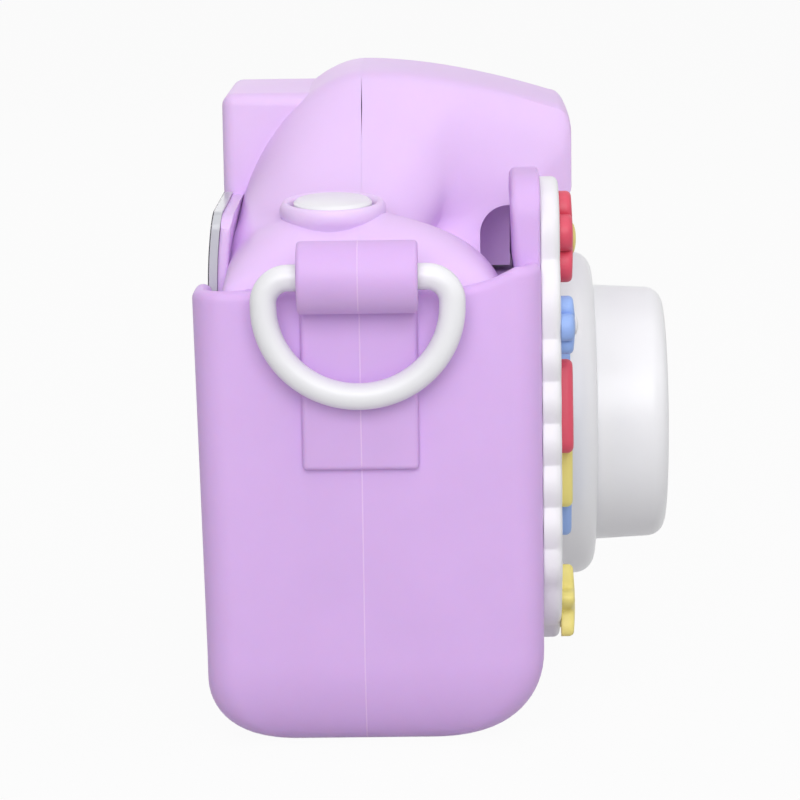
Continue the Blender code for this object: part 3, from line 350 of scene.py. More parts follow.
def surface(name, colour, rough, vary=0.05, grain=5200.0, bump=0.12, soft_edge=0.0, **sockets):
    """A moulded surface: faint mottling of its colour, uneven roughness and a fine grain."""
    made = bpy.data.materials.new(name)
    made.use_nodes = True
    tree = made.node_tree
    link = tree.links.new
    shader = set_sockets(tree.nodes["Principled BSDF"], **sockets)
    place = tree.nodes.new("ShaderNodeTexCoord")

    cloudy = node_of(tree, "ShaderNodeTexNoise", Scale=MOTTLE_SCALE, Detail=4.0, Roughness=0.55)
    link(place.outputs["Object"], cloudy.inputs["Vector"])
    ramp = tree.nodes.new("ShaderNodeValToRGB")
    shades = ((MOTTLE_LOW, 1.0 - vary), (MOTTLE_HIGH, 1.0 + vary * LIGHT_SHARE))
    for stop, (level, factor) in zip(ramp.color_ramp.elements, shades):
        stop.position = level
        stop.color = (*[min(1.0, c * factor) for c in colour], 1.0)
    link(cloudy.outputs["Fac"], ramp.inputs["Fac"])
    link(ramp.outputs["Color"], shader.inputs["Base Color"])

    spread = node_of(tree, "ShaderNodeMapRange", From_Min=MOTTLE_LOW, From_Max=MOTTLE_HIGH,
                     To_Min=max(ROUGH_LEAST, rough - ROUGH_SPREAD), To_Max=rough + ROUGH_SPREAD)
    link(cloudy.outputs["Fac"], spread.inputs["Value"])
    link(spread.outputs["Result"], shader.inputs["Roughness"])

    fine = node_of(tree, "ShaderNodeTexNoise", Scale=grain, Detail=2.0, Roughness=0.6)
    link(place.outputs["Object"], fine.inputs["Vector"])
    raised = node_of(tree, "ShaderNodeBump", Strength=bump, Distance=GRAIN_HEIGHT * MM)
    link(fine.outputs["Fac"], raised.inputs["Height"])
    if soft_edge:
        rounded = node_of(tree, "ShaderNodeBevel", Radius=soft_edge * MM)
        rounded.samples = EDGE_SAMPLES
        link(rounded.outputs["Normal"], raised.inputs["Normal"])
    link(raised.outputs["Normal"], shader.inputs["Normal"])
    return made


SILICONE = surface("lilac_silicone", (0.715, 0.462, 0.865), 0.52, 0.03, soft_edge=0.5,
                   Subsurface_Weight=0.12, Subsurface_Scale=0.004, Specular_IOR_Level=0.4)
PLASTIC = surface("lilac_plastic", (0.785, 0.56, 0.905), 0.46, 0.03, Subsurface_Weight=0.08,
                  Subsurface_Scale=0.003, Specular_IOR_Level=0.4)
# Painted highlight: the collar's plastic is the body's lilac plastic painted lighter, so its up-facing
# surface shows as brightly lit
LIT_COLLAR_PLASTIC = surface("lit_lilac_plastic", (0.85, 0.65, 0.965), 0.46, 0.03, Subsurface_Weight=0.1,
                 Subsurface_Scale=0.003, Specular_IOR_Level=0.4)
WHITE = surface("white_plastic", (0.86, 0.86, 0.885), 0.33, 0.02, bump=0.05, soft_edge=0.25)
# Painted highlight: the mould line's silicone is the sleeve's silicone painted lighter, so its ridge shows
# as lit
PAINTED_SEAM_HIGHLIGHT = surface("seam_painted_highlight", (0.81, 0.57, 0.92), 0.52, 0.03, bump=0.05)
RELIEF_WHITE = surface("white_relief", (0.86, 0.85, 0.88), 0.5, 0.03, soft_edge=0.4)
RELIEF_RED = surface("red_relief", (0.72, 0.075, 0.13), 0.48, 0.08, soft_edge=0.3)
RELIEF_BLUE = surface("blue_relief", (0.30, 0.45, 0.84), 0.48, 0.06, soft_edge=0.3)
RELIEF_YELLOW = surface("yellow_relief", (0.88, 0.76, 0.23), 0.48, 0.05, soft_edge=0.3)
BLACK = surface("black_plastic", (0.018, 0.018, 0.02), 0.4, 0.2)
GLASS = surface("lens_coating", (0.02, 0.022, 0.04), 0.05, 0.3, bump=0.0, Coat_Weight=0.3,
                Coat_Roughness=0.02, Thin_Film_Thickness=330.0, Thin_Film_IOR=1.6)
FLASH = surface("flash_lens", (0.88, 0.88, 0.85), 0.16, 0.05, bump=0.05, Transmission_Weight=0.35)
PANEL = surface("pale_panel", (0.66, 0.67, 0.72), 0.2, 0.03, bump=0.02, Transmission_Weight=0.15, IOR=1.45)
FILM = surface("smoke_film", (0.42, 0.39, 0.45), 0.07, 0.03, bump=0.01, Transmission_Weight=0.8, IOR=1.2)
SCREEN = surface("screen", (0.012, 0.013, 0.018), 0.12, 0.2, bump=0.0)
BOARD = surface("green_board", (0.02, 0.16, 0.07), 0.5, 0.3, grain=1200.0)
FOIL = surface("silver_foil", (0.62, 0.62, 0.63), 0.35, 0.05, Metallic=0.9)
STEEL = surface("steel", (0.55, 0.55, 0.56), 0.3, 0.06, Metallic=1.0)


# Mesh helpers, with the angles in degrees over which an edge is shaded as sharp

CREASE = 35.0
LOFT_CREASE = 40.0
WIRE_CREASE = 60.0
MOTIF_CREASE = 50.0
TURNED_CREASE = 28.0
STEPPED_CREASE = 20.0
WELD = 0.002
PLATE_ROUNDS = 4


def at(x, ahead, z):
    return Vector((x, -ahead, z)) * MM


def linked(name, data):
    obj = bpy.data.objects.new(name, data)
    bpy.context.scene.collection.objects.link(obj)
    return obj


def shade(mesh, angle):
    mesh.shade_smooth()
    mesh.set_sharp_from_angle(angle=radians(angle))


def mesh_from(bm, name, angle=CREASE):
    bmesh.ops.recalc_face_normals(bm, faces=bm.faces)
    mesh = bpy.data.meshes.new(name)
    bm.to_mesh(mesh)
    bm.free()
    shade(mesh, angle)
    return linked(name, mesh)


def evaluated_mesh(obj):
    bpy.context.view_layer.update()
    ready = obj.evaluated_get(bpy.context.evaluated_depsgraph_get())
    return bpy.data.meshes.new_from_object(ready)


def settle(obj, angle=CREASE):
    """Apply a curve's form and place, and weld the mesh."""
    name = obj.name
    mesh = evaluated_mesh(obj)
    bm = bmesh.new()
    bm.from_mesh(mesh)
    bmesh.ops.transform(bm, matrix=obj.matrix_world.copy(), verts=bm.verts)
    bmesh.ops.remove_doubles(bm, verts=bm.verts, dist=WELD * MM)
    bpy.data.objects.remove(obj)
    return mesh_from(bm, name, angle)


def combine(obj, operation, *tools):
    """Apply Booleans with the tools, which are used up."""
    for tool in tools:
        change = obj.modifiers.new(tool.name, "BOOLEAN")
        change.operation = operation
        change.object = tool
        change.solver = "EXACT"
    mesh = evaluated_mesh(obj)
    obj.modifiers.clear()
    obj.data = mesh
    shade(mesh, CREASE)
    for tool in tools:
        bpy.data.objects.remove(tool)
    return obj


def box(name, low, high, edge=0.0, segments=4):
    """A box between two (x, ahead, z) corners, with its edges rounded if asked."""
    bm = bmesh.new()
    bmesh.ops.create_cube(bm, size=1.0)
    size = [abs(high[i] - low[i]) * MM for i in range(3)]
    middle = at(*[(high[i] + low[i]) / 2 for i in range(3)])
    place = Matrix.Translation(middle) @ Matrix.Diagonal((*size, 1.0))
    bmesh.ops.transform(bm, matrix=place, verts=bm.verts)
    if edge:
        bmesh.ops.bevel(bm, geom=bm.edges[:], offset=edge * MM, segments=segments, profile=0.5,
                        affect="EDGES")
    return mesh_from(bm, name)


def rod(name, radius, start, end, segments=48):
    """A cylinder between two (x, ahead, z) points."""
    first, last = at(*start), at(*end)
    turn = Vector((0, 0, 1)).rotation_difference(last - first).to_matrix().to_4x4()
    bm = bmesh.new()
    bmesh.ops.create_cone(
        bm, cap_ends=True, segments=segments, radius1=radius * MM, radius2=radius * MM,
        depth=(last - first).length, matrix=Matrix.Translation((first + last) / 2) @ turn)
    return mesh_from(bm, name)


def bore(name, radius, x, z, rear, ahead, segments=48):
    """A cylinder along the lens's direction, to cut a hole."""
    return rod(name, radius, (x, rear, z), (x, ahead, z), segments)


def turned(name, outline, place, axis=(0, -1, 0), steps=96, angle=TURNED_CREASE):
    """A piece turned about its axis from (radius, height) points, closed on the axis or as a ring."""
    turn = Vector((0, 0, 1)).rotation_difference(Vector(axis)).to_matrix()
    centre = at(*place)
    bm = bmesh.new()
    rows = []
    for radius, height in outline:
        if radius == 0:
            rows.append([bm.verts.new(centre + turn @ Vector((0, 0, height * MM)))] * steps)
            continue
        row = []
        for i in range(steps):
            round_angle = 2 * pi * i / steps
            point = Vector((radius * cos(round_angle), radius * sin(round_angle), height))
            row.append(bm.verts.new(centre + turn @ (point * MM)))
        rows.append(row)
    pairs = list(zip(rows, rows[1:]))
    if min(radius for radius, _ in outline) > 0:
        pairs.append((rows[-1], rows[0]))
    for low, high in pairs:
        for i in range(steps):
            j = (i + 1) % steps
            corners = list(dict.fromkeys((low[i], low[j], high[j], high[i])))
            if len(corners) > 2:
                bm.faces.new(corners)
    return mesh_from(bm, name, angle)


def loft(name, rings, angle=LOFT_CREASE):
    """A closed skin over rings of (x, ahead, z) points, as many in each, with both ends capped."""
    bm = bmesh.new()
    rows = [[bm.verts.new(at(*point)) for point in ring] for ring in rings]
    for low, high in zip(rows, rows[1:]):
        for i in range(len(low)):
            j = (i + 1) % len(low)
            bm.faces.new((low[i], low[j], high[j], high[i]))
    bm.faces.new(rows[0])
    bm.faces.new(rows[-1])
    return mesh_from(bm, name, angle)


def oval(u, v, wide, high, start, end, count):
    """Points along an ellipse between two angles in degrees."""
    angles = [radians(start + (end - start) * i / count) for i in range(count + 1)]
    return [(u + wide * cos(a), v + high * sin(a)) for a in angles]


def arc(u, v, radius, start, end, count=12):
    return oval(u, v, radius, radius, start, end, count)


def straight(first, last, count):
    """Points strictly between two points."""
    points = []
    for i in range(1, count + 1):
        u = first[0] + (last[0] - first[0]) * i / (count + 1)
        v = first[1] + (last[1] - first[1]) * i / (count + 1)
        points.append((u, v))
    return points


def plate(name, points, thick, place, normal="x", edge=0.0, holes=()):
    """A plate with rounded edges from a closed outline, (ahead, up) or (across, up)."""
    curve = bpy.data.curves.new(name, "CURVE")
    curve.dimensions = "2D"
    curve.fill_mode = "BOTH"
    curve.extrude = (thick / 2 - edge) * MM
    curve.bevel_depth = edge * MM
    curve.offset = -edge * MM
    curve.bevel_resolution = PLATE_ROUNDS
    for outline in (points, *holes):
        spline = curve.splines.new("POLY")
        spline.points.add(len(outline) - 1)
        spline.use_cyclic_u = True
        for target, (u, v) in zip(spline.points, outline):
            target.co = ((-u if normal == "x" else u) * MM, v * MM, 0.0, 1.0)
    obj = linked(name, curve)
    turn = Matrix.Rotation(pi / 2, 4, "X")
    if normal == "x":
        turn = Matrix.Rotation(pi / 2, 4, "Z") @ turn
    obj.matrix_world = Matrix.Translation(at(*place)) @ turn
    return settle(obj)


def wire(name, points, radius, sides, closed=False):
    """A round wire through (x, ahead, z) points."""
    curve = bpy.data.curves.new(name, "CURVE")
    curve.dimensions = "3D"
    curve.bevel_depth = radius * MM
    curve.bevel_resolution = sides
    curve.use_fill_caps = not closed
    spline = curve.splines.new("POLY")
    spline.points.add(len(points) - 1)
    spline.use_cyclic_u = closed
    for target, point in zip(spline.points, points):
        target.co = (*at(*point), 1.0)
    return settle(linked(name, curve), WIRE_CREASE)


def show(obj, material, slot, *nodes, body=BODY):
    """Dress a piece, seat it on its body and let it stand for CAD nodes."""
    obj.data.materials.clear()
    obj.data.materials.append(material)
    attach(obj, body)
    if nodes:
        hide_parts(*nodes)
    return obj


def ease(share):
    share = max(0.0, min(1.0, share))
    return share * share * (3 - 2 * share)


def turn_in(distance, radius):
    """How far a round of that radius draws a surface in, at a distance from the round's end."""
    short = max(0.0, radius - distance)
    return radius - sqrt(max(0.0, radius * radius - short * short))


# Hard body

REAR_STEPS = 26
TOP_STEPS = 16
BROW_STEPS = 8
CHIN_STEPS = 10
FOOT_STEPS = 6
CORNER_STEPS = 5
MIDDLE_SECTIONS = 44
END_SECTIONS = 14
LEAN_STEPS = 14


def bulge(start, end, power, steps):
    """Quarter superellipse from a point on its side to the point at its top."""
    points = []
    for i in range(steps + 1):
        angle = pi / 2 * i / steps
        across = max(0.0, cos(angle)) ** (2 / power)
        up = sin(angle) ** (2 / power)
        points.append((end[0] + (start[0] - end[0]) * across, start[1] + (end[1] - start[1]) * up))
    return points


def hump_profile():
    """(ahead, up, steepness of the flank) over the hump from the back of the waist to the front ledge."""
    brow = HUMP_FRONT - HUMP_CORNER
    rise = bulge((BODY_REAR, WAIST_Z), (HUMP_PEAK, HUMP_TOP_Z), HUMP_REAR_POWER, REAR_STEPS)
    points = [(u, v, 0.0) for u, v in rise]
    for i in range(1, TOP_STEPS + 1):
        share = i / TOP_STEPS
        ahead = HUMP_PEAK + (brow - HUMP_PEAK) * share
        up = HUMP_TOP_Z - (HUMP_TOP_Z - BROW_Z) * share ** HUMP_TOP_POWER
        points.append((ahead, up, ease((share - NECK_START) / NECK_RUN)))
    front = oval(brow, BROW_Z - BROW_DROP, HUMP_CORNER, BROW_DROP, BROW_START, 0, BROW_STEPS)
    chin = (HUMP_FRONT, UNDER_Z - CHIN_DROP)
    foot = (BODY_FRONT - FOOT_SHY, LEDGE_Z - FOOT_DROP)
    front += straight(front[-1], chin, CHIN_STEPS) + [chin]
    front += straight(chin, foot, FOOT_STEPS) + [foot]
    return points + [(u, v, 1.0) for u, v in front]


def dome_profile(count, fullness):
    """(ahead, up) over a shoulder, from the back of the waist to the front."""
    top = (DOME_PEAK, DOME_TOP_Z)
    points = bulge((BODY_REAR + DOME_REAR_SHY, WAIST_Z), top, fullness, REAR_STEPS)
    falling = bulge((BODY_FRONT - DOME_SHY, DOME_FOOT_Z), top, DOME_FRONT_POWER, count - len(points))
    return points + falling[-2::-1]


HUMP_POINTS = hump_profile()
END_POINTS = dome_profile(len(HUMP_POINTS), DOME_END_POWER)
MIDDLE_POINTS = dome_profile(len(HUMP_POINTS), DOME_MIDDLE_POWER)


def hump_weight(x):
    """Share of the hump across the body: full over its flat top, with a soft start to its flank."""
    def fall(distance):
        share = (distance - HUMP_FLAT) / FLANK_RUN
        eased = (sqrt(share * share + FLANK_SOFT) + share) / 2
        return max(0.0, 1.0 - eased) ** 2

    return fall(abs(x)) / fall(0.0)


def hump_share(x, steepness):
    """Share of the hump in a section, with a steeper side wall towards the front."""
    wall = 1.0 - ease((abs(x) - WALL_START) / WALL_RUN)
    return hump_weight(x) * (1.0 - steepness + wall * steepness)


def valley(x, ahead, up):
    """Height of a shoulder, which dips beside the hump's front."""
    if ahead < 0.0 or up < DOME_FOOT_Z:
        return up
    dip = VALLEY_SHARE * ease((VALLEY_EDGE - abs(x)) / VALLEY_RUN) * ease(ahead / VALLEY_LENGTH)
    return DOME_FOOT_Z + (up - DOME_FOOT_Z) * (1.0 - dip)


def body_section(x):
    """Closed outline of the hard body at x."""
    distance = BODY_HALF_WIDTH - abs(x)
    middle = ease((DOME_MIDDLE_EDGE - abs(x)) / DOME_MIDDLE_RUN)
    squeeze = sqrt(max(DOME_END_LEAST, 1.0 - max(0.0, 1.0 - distance / DOME_END_RUN) ** 2))
    draw = turn_in(distance, SLEEVE_EDGE - WALL)
    outline = []
    for (hump_u, hump_v, steepness), end, full in zip(HUMP_POINTS, END_POINTS, MIDDLE_POINTS):
        share = hump_share(x, steepness)
        dome = (end[0] + (full[0] - end[0]) * middle, end[1] + (full[1] - end[1]) * middle)
        reach = share + (1.0 - (1.0 - share) ** WALL_FULL - share) * steepness
        ahead = dome[0] + (hump_u - dome[0]) * reach
        shoulder = valley(x, *dome)
        up = shoulder + (hump_v - shoulder) * share
        if up > WAIST_Z:
            up = WAIST_Z + (up - WAIST_Z) * squeeze
        limit = max(BODY_FRONT - draw, HUMP_FRONT * reach)
        outline.append((max(BODY_REAR + draw, min(limit, ahead)), up))
    outline.append((BODY_FRONT - draw, DOME_FOOT_Z - FRONT_DROP))
    lift = BODY_BOTTOM + turn_in(distance, SIDE_CORNER - WALL)
    front = FRONT_CORNER - WALL
    rear = REAR_CORNER - WALL
    outline += arc(BODY_FRONT - draw - front, lift + front, front, 0, -90, CORNER_STEPS)
    outline += arc(BODY_REAR + draw + rear, lift + rear, rear, -90, -180, CORNER_STEPS)
    return outline


def body_solid(name):
    """The hard body's outside, lofted from side to side."""
    inner = BODY_HALF_WIDTH - DOME_END_RUN
    side = [inner * i / MIDDLE_SECTIONS for i in range(1, MIDDLE_SECTIONS + 1)]
    for i in range(1, END_SECTIONS + 1):
        side.append(BODY_HALF_WIDTH - DOME_END_RUN * (1 - sin(pi / 2 * i / END_SECTIONS)))
    places = [-x for x in reversed(side)] + [0.0] + side
    return loft(name, [[(x, u, v) for u, v in body_section(x)] for x in places])


def half_space(name, rear, ahead):
    """All of the body between two planes across it."""
    wide = HALF_WIDTH + CUT
    return box(name, (-wide, rear, -CUT), (wide, ahead, HUMP_TOP_Z + CUT))


def shutter_place(along):
    """A point on the shutter's axis, from the top of its collar."""
    return (SHUTTER_X + SHUTTER_AXIS.x * along, SHUTTER_AHEAD, COLLAR_TOP_Z + SHUTTER_AXIS.z * along)


def shutter_tools():
    """The button's well and the wider room below its seat."""
    bottom = shutter_place(-WELL_DEPTH)
    seat = shutter_place(-SEAT_DEPTH - WELL_GAP)
    return [rod("well", SHUTTER_RADIUS + RUN, bottom, shutter_place(CUT), 64),
            rod("room", SHUTTER_RADIUS + WELL_MARGIN, bottom, seat, 32)]


def slit_tools():
    """The stretch of the parting line that stands open on each flank of the hump."""
    low, middle, high = SLIT_HEIGHTS
    outline = [(PARTING, high), (PARTING + SLIT_HALF, middle), (PARTING, low), (PARTING - SLIT_HALF, middle)]
    return [plate("slit", outline, SLIT_WIDTH, (side * SLIT_X, 0, 0)) for side, _ in SIDES]


def throat_tool():
    """Open space under the hump's overhang, with the round of the overhang's lower edge."""
    reach = HUMP_FRONT + CUT
    floor = LEDGE_Z - THROAT_DROP
    outline = [(reach, UNDER_Z + HUMP_CORNER)]
    outline += arc(HUMP_FRONT - HUMP_CORNER, UNDER_Z + HUMP_CORNER, HUMP_CORNER, 0, -90)
    outline += arc(THROAT + THROAT_RADIUS, UNDER_Z - THROAT_RADIUS, THROAT_RADIUS, 90, 180)
    return plate("throat", outline + [(THROAT, floor), (reach, floor)], THROAT_WIDTH, (0, 0, 0))


def back_plate(name, outer, inner, top, edge=0.0):
    """A sheet along the back that leans forward above the waist, with round corners at its top."""
    def line(offset):
        points = [(REAR + offset, PANEL_BOTTOM_Z)]
        for i in range(LEAN_STEPS + 1):
            lean = PANEL_LEAN * (i / LEAN_STEPS) ** 2
            points.append((REAR + offset + lean, WAIST_Z + (top - WAIST_Z) * i / LEAN_STEPS))
        return points

    sheet = plate(name, line(outer) + line(inner)[::-1], 2 * PANEL_HALF_WIDTH, (0, 0, 0), "x", edge)
    reach = PANEL_HALF_WIDTH - PANEL_CORNER
    foot = PANEL_BOTTOM_Z - CUT
    shape = [(-PANEL_HALF_WIDTH, foot)] + arc(-reach, top - PANEL_CORNER, PANEL_CORNER, 180, 90)
    shape += arc(reach, top - PANEL_CORNER, PANEL_CORNER, 90, 0) + [(PANEL_HALF_WIDTH, foot)]
    return combine(sheet, "INTERSECT", plate("shape", shape, 8 * CUT, (0, REAR, 0), "ahead"))


def key_holes(rear, ahead):
    return [bore(f"{name}_hole", KEY_RADIUS + RUN, KEY_X, z, rear, ahead) for name, z in KEY_HEIGHTS.items()]


def screen_box(name, half_width, half_height, rear, ahead):
    return box(name, (SCREEN_X - half_width, rear, SCREEN_Z - half_height),
               (SCREEN_X + half_width, ahead, SCREEN_Z + half_height))


def make_front_shell():
    shell = body_solid("front_shell_skin")
    combine(shell, "INTERSECT", half_space("front_half", PARTING + SHELL_GAP / 2, HUMP_FRONT + CUT))
    combine(shell, "DIFFERENCE", *shutter_tools(), *slit_tools(), throat_tool(),
            bore("flash_hole", FLASH_RADIUS + FIT, 0, FLASH_Z, HUMP_FRONT - CUT, HUMP_FRONT + CUT),
            bore("lens_hole", LENS_NECK_RADIUS + FIT, 0, LENS_Z, INNER_FRONT - CUT, BODY_FRONT + CUT, 72))
    combine(shell, "UNION",
            box("web", (-WEB_HALF_WIDTH, THROAT - WEB_SUNK, LEDGE_Z - WEB_DROP),
                (WEB_HALF_WIDTH, BODY_FRONT - WEB_SHY, UNDER_Z + WEB_SUNK)))
    show(shell, PLASTIC, "lilac_plastic", "front_shell")


def make_rear_shell():
    shell = body_solid("rear_shell_skin")
    combine(shell, "INTERSECT", half_space("rear_half", REAR - CUT, PARTING - SHELL_GAP / 2))
    combine(shell, "UNION",
            box("block", (-BLOCK_HALF_WIDTH, BLOCK_REAR, BLOCK_BOTTOM_Z),
                (BLOCK_HALF_WIDTH, HUMP_PEAK - BLOCK_SUNK, BLOCK_TOP_Z), BLOCK_EDGE, 6),
            back_plate("backing", PANEL_INNER - BACKING_SUNK, PANEL_THICK + SHELL_WALL,
                       PANEL_TOP_Z - BACKING_SHY, BACKING_EDGE))
    room_low, room_high = KEY_ROOM_HEIGHTS
    room_ahead = INNER_REAR + ROOM_DEPTH
    outside = BODY_REAR - CUT
    inside = INNER_REAR + THROUGH
    combine(shell, "DIFFERENCE", *shutter_tools(), *slit_tools(), *key_holes(outside, inside),
            box("key_room", (KEY_X - KEY_ROOM_HALF, INNER_REAR, room_low),
                (KEY_X + KEY_ROOM_HALF, room_ahead, room_high)),
            screen_box("screen_window", VIEW_HALF_WIDTH, VIEW_HALF_HEIGHT, outside, inside),
            screen_box("screen_room", SCREEN_WIDTH / 2 + FIT, SCREEN_HEIGHT / 2 + FIT, INNER_REAR,
                       room_ahead),
            bore("eye_hole", REAR_EYE_RADIUS + FIT, 0, REAR_EYE_Z, BLOCK_REAR - CUT,
                 BLOCK_REAR + REAR_EYE_DEPTH))
    for name in ("usb_socket", "card_socket"):
        low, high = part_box(name)
        slot = box(f"{name}_slot", (low.x / MM - SOCKET_ROOM, -high.y / MM - FIT, low.z / MM - FIT),
                   (BODY_HALF_WIDTH + CUT, -low.y / MM + FIT, high.z / MM + FIT))
        combine(shell, "DIFFERENCE", slot)
    show(shell, PLASTIC, "lilac_plastic", "rear_shell")


# Silicone sleeve

EDGE_STEPS = 10
SIDE_STEPS = 24
CORNER_RINGS = 18
RIM_RINGS = 12
EAR_STEPS = 40
LUG_STEPS = 72


def rim_lift(x, ahead):
    """How far the rim climbs towards the ears."""
    along = max(0.0, min(1.0, (ahead - RISE_START) / RISE_RUN)) ** RISE_POWER
    return RIM_RISE * along * ease((abs(x) - RISE_INNER) / (EAR_X - EAR_HALF_WIDTH - RISE_INNER))


def sleeve_ring(z, side, rear, front, radius, climb=0.0):
    """A round-cornered ring at a height, drawn in from the sleeve's sides, rear and front."""
    half = HALF_WIDTH - side
    face = FRONT - front
    back = REAR + rear
    corners = ((half, face, 90), (-half, face, 180), (-half, back, 270), (half, back, 360))
    arcs = []
    for x, u, end in corners:
        middle = (x - copysign(radius, x), u - copysign(radius, u))
        arcs.append(arc(*middle, radius, end - 90, end, EDGE_STEPS))
    points = []
    for turn, following in zip(arcs, arcs[1:] + arcs[:1]):
        points += turn + straight(turn[-1], following[0], SIDE_STEPS)
    return [(x, u, z + climb * rim_lift(x, u)) for x, u in points]


def sleeve_bucket():
    """Rings up the outside, over the rim, down the inside and across the inner floor."""
    rings = []
    turns = [pi / 2 * i / CORNER_RINGS for i in range(CORNER_RINGS + 1)]
    heights = [FRONT_CORNER * (1 - cos(turn)) for turn in turns]
    for z in heights:
        front = turn_in(z, FRONT_CORNER)
        rings.append(sleeve_ring(z, SIDE_SHARE * front, turn_in(z, REAR_CORNER), front, SLEEVE_EDGE))
    for draw, z in oval(WALL / 2, RIM_Z - RIM_ROUND, WALL / 2, RIM_ROUND, 180, 0, RIM_RINGS):
        rings.append(sleeve_ring(z, draw, draw - REAR_FLARE, draw, SLEEVE_EDGE - draw, 1.0))
    for z in heights[::-2]:
        over = z / FRONT_CORNER * (FRONT_CORNER - FLOOR)
        insets = [WALL + turn_in(over, c - WALL) for c in (SIDE_CORNER, REAR_CORNER, FRONT_CORNER)]
        rings.append(sleeve_ring(FLOOR + over, *insets, SLEEVE_EDGE - WALL))
    return loft("sleeve_skin", rings)


def ear_section(offset):
    """Closed outline of an ear, (ahead, up), at an offset from its middle."""
    inside = EAR_HALF_WIDTH - abs(offset)
    top = EAR_TOP_Z - turn_in(inside, EAR_CORNER)
    draw = turn_in(inside, EAR_ROUND)
    low = RIM_Z - EAR_SUNK
    knee = RIM_Z + EAR_KNEE
    # Height and thickness up the ear, from the sleeve's wall to the slightly fuller top
    swell = ((low, WALL - 0.2), (RIM_Z, WALL + 0.4), (RIM_Z + EAR_FOOT, EAR_THICK - 0.2),
             (knee, EAR_THICK - 0.15), (top - 2.4, EAR_THICK + 0.05), (top - EAR_ROUND, EAR_THICK + 0.15))
    back = [(FRONT - thick + draw, z) for z, thick in swell]
    face = FRONT - EAR_GAP - draw * 0.5
    small = EAR_ROUND / 2
    outline = [(face, low), (face, knee)] + arc(face - small, top - small, small, 0, 90, 5)
    outline += arc(back[-1][0] + EAR_ROUND, top - EAR_ROUND, EAR_ROUND, 90, 180, 6)
    return outline + back[-2::-1]


def make_ear(name, side):
    rings = []
    for i in range(EAR_STEPS + 1):
        offset = EAR_HALF_WIDTH * sin(pi / 2 * (2 * i / EAR_STEPS - 1))
        rings.append([(side * EAR_X + offset, u, v) for u, v in ear_section(offset)])
    return loft(f"ear_{name}", rings)


def make_sleeve():
    sleeve = sleeve_bucket()
    half = LUG_LENGTH / 2
    for side, name in SIDES:
        pad = box(f"pad_{name}", (side * (HALF_WIDTH - PAD_SUNK), LUG_AHEAD - half + PAD_SHY, PAD_BOTTOM_Z),
                  (side * (HALF_WIDTH + PAD_THICK), LUG_AHEAD + half - PAD_SHY, LUG_Z - PAD_SUNK), PAD_EDGE)
        outline = [(0, -half)] + arc(LUG_RADIUS - LUG_EDGE, -half + LUG_EDGE, LUG_EDGE, -90, 0, 4)
        outline += arc(LUG_RADIUS - LUG_EDGE, half - LUG_EDGE, LUG_EDGE, 0, 90, 4) + [(0, half)]
        lug = turned(f"lug_{name}", outline, (side * LUG_X, LUG_AHEAD, LUG_Z), steps=LUG_STEPS)
        combine(sleeve, "UNION", make_ear(name, side), pad, lug)
        combine(sleeve, "DIFFERENCE",
                bore("bar_hole", RING_RADIUS + RUN, side * LUG_X, LUG_Z, LUG_AHEAD - LUG_LENGTH,
                     LUG_AHEAD + LUG_LENGTH, 32))
    socket_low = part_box("usb_socket")[0]
    socket_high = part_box("card_socket")[1]
    middle = -socket_high.y / MM + PORT_SHIFT
    combine(sleeve, "DIFFERENCE",
            box("rear_window", (-REAR_WINDOW_HALF, REAR - CUT, WINDOW_SILL),
                (REAR_WINDOW_HALF, REAR + WALL + WINDOW_REACH, RIM_Z + CUT)),
            bore("lens_window", LENS_BASE_RADIUS + FIT, 0, LENS_Z, BODY_FRONT, FRONT + CUT, 96),
            box("port_window", (BODY_HALF_WIDTH, middle - PORT_HALF, socket_low.z / MM - PORT_MARGIN),
                (HALF_WIDTH + CUT, middle + PORT_HALF, socket_high.z / MM + PORT_MARGIN)))
    show(sleeve, SILICONE, "lilac_silicone", "silicone_sleeve")


def make_mould_lines():
    """Faint raised line where the halves of the sleeve's mould met, in the sleeve's silicone painted lighter
    as a painted highlight along its lit ridge.
    """
    depth = SIDE_SHARE * FRONT_CORNER
    wall = HALF_WIDTH - SEAM_SUNK
    pad = wall + PAD_THICK
    foot = PAD_BOTTOM_Z
    lug_foot = LUG_Z - LUG_RADIUS + LUG_FOOT
    points = oval(HALF_WIDTH - depth, FRONT_CORNER, depth - SEAM_SUNK, FRONT_CORNER - SEAM_SUNK, -90, 0, 16)
    # Points close together at the pad's edges keep the line round there
    points += [(wall, foot - 0.4), (wall, foot), (pad - 0.3, foot + 0.15), (pad, foot + 0.6),
               (pad, foot + 1.0), (pad, lug_foot - 0.4), (pad, lug_foot)]
    points += arc(LUG_X, LUG_Z, LUG_RADIUS - SEAM_SUNK, -60, 120, 24)
    for side, name in SIDES:
        line = wire(f"mould_line_{name}", [(side * x, PARTING, z) for x, z in points], SEAM_RADIUS, 3)
        show(line, PAINTED_SEAM_HIGHLIGHT, "lilac_silicone")


# Strap rings, lens, back, shutter and flash

RING_STEPS = 60
CONE_STEPS = 5
GLASS_STEPS = 12
LIP_STEPS = 24
CROWN_STEPS = 12
SHUTTER_STEPS = 72
KEY_STEPS = 48
FLASH_RINGS = 8


def make_rings():
    half = RING_WIDTH / 2 - RING_RADIUS
    knee = -RING_CORNER - RING_KNEE
    outline = straight((-half + RING_CORNER, 0), (half - RING_CORNER, 0), 8)
    outline += arc(half - RING_CORNER, -RING_CORNER, RING_CORNER, 90, 0, 12)
    outline += oval(0, knee, half, -RING_DROP - knee, 0, 180, RING_STEPS)[1:-1]
    outline += arc(-half + RING_CORNER, -RING_CORNER, RING_CORNER, 180, 90, 12)
    for side, name in SIDES:
        points = [(side * LUG_X, LUG_AHEAD + u, LUG_Z + v) for u, v in outline]
        ring = wire(f"strap_ring_{name}", points, RING_RADIUS, 7, True)
        show(ring, WHITE, "white_plastic", f"d_ring_{name}", body=f"d_ring_{name}_body")


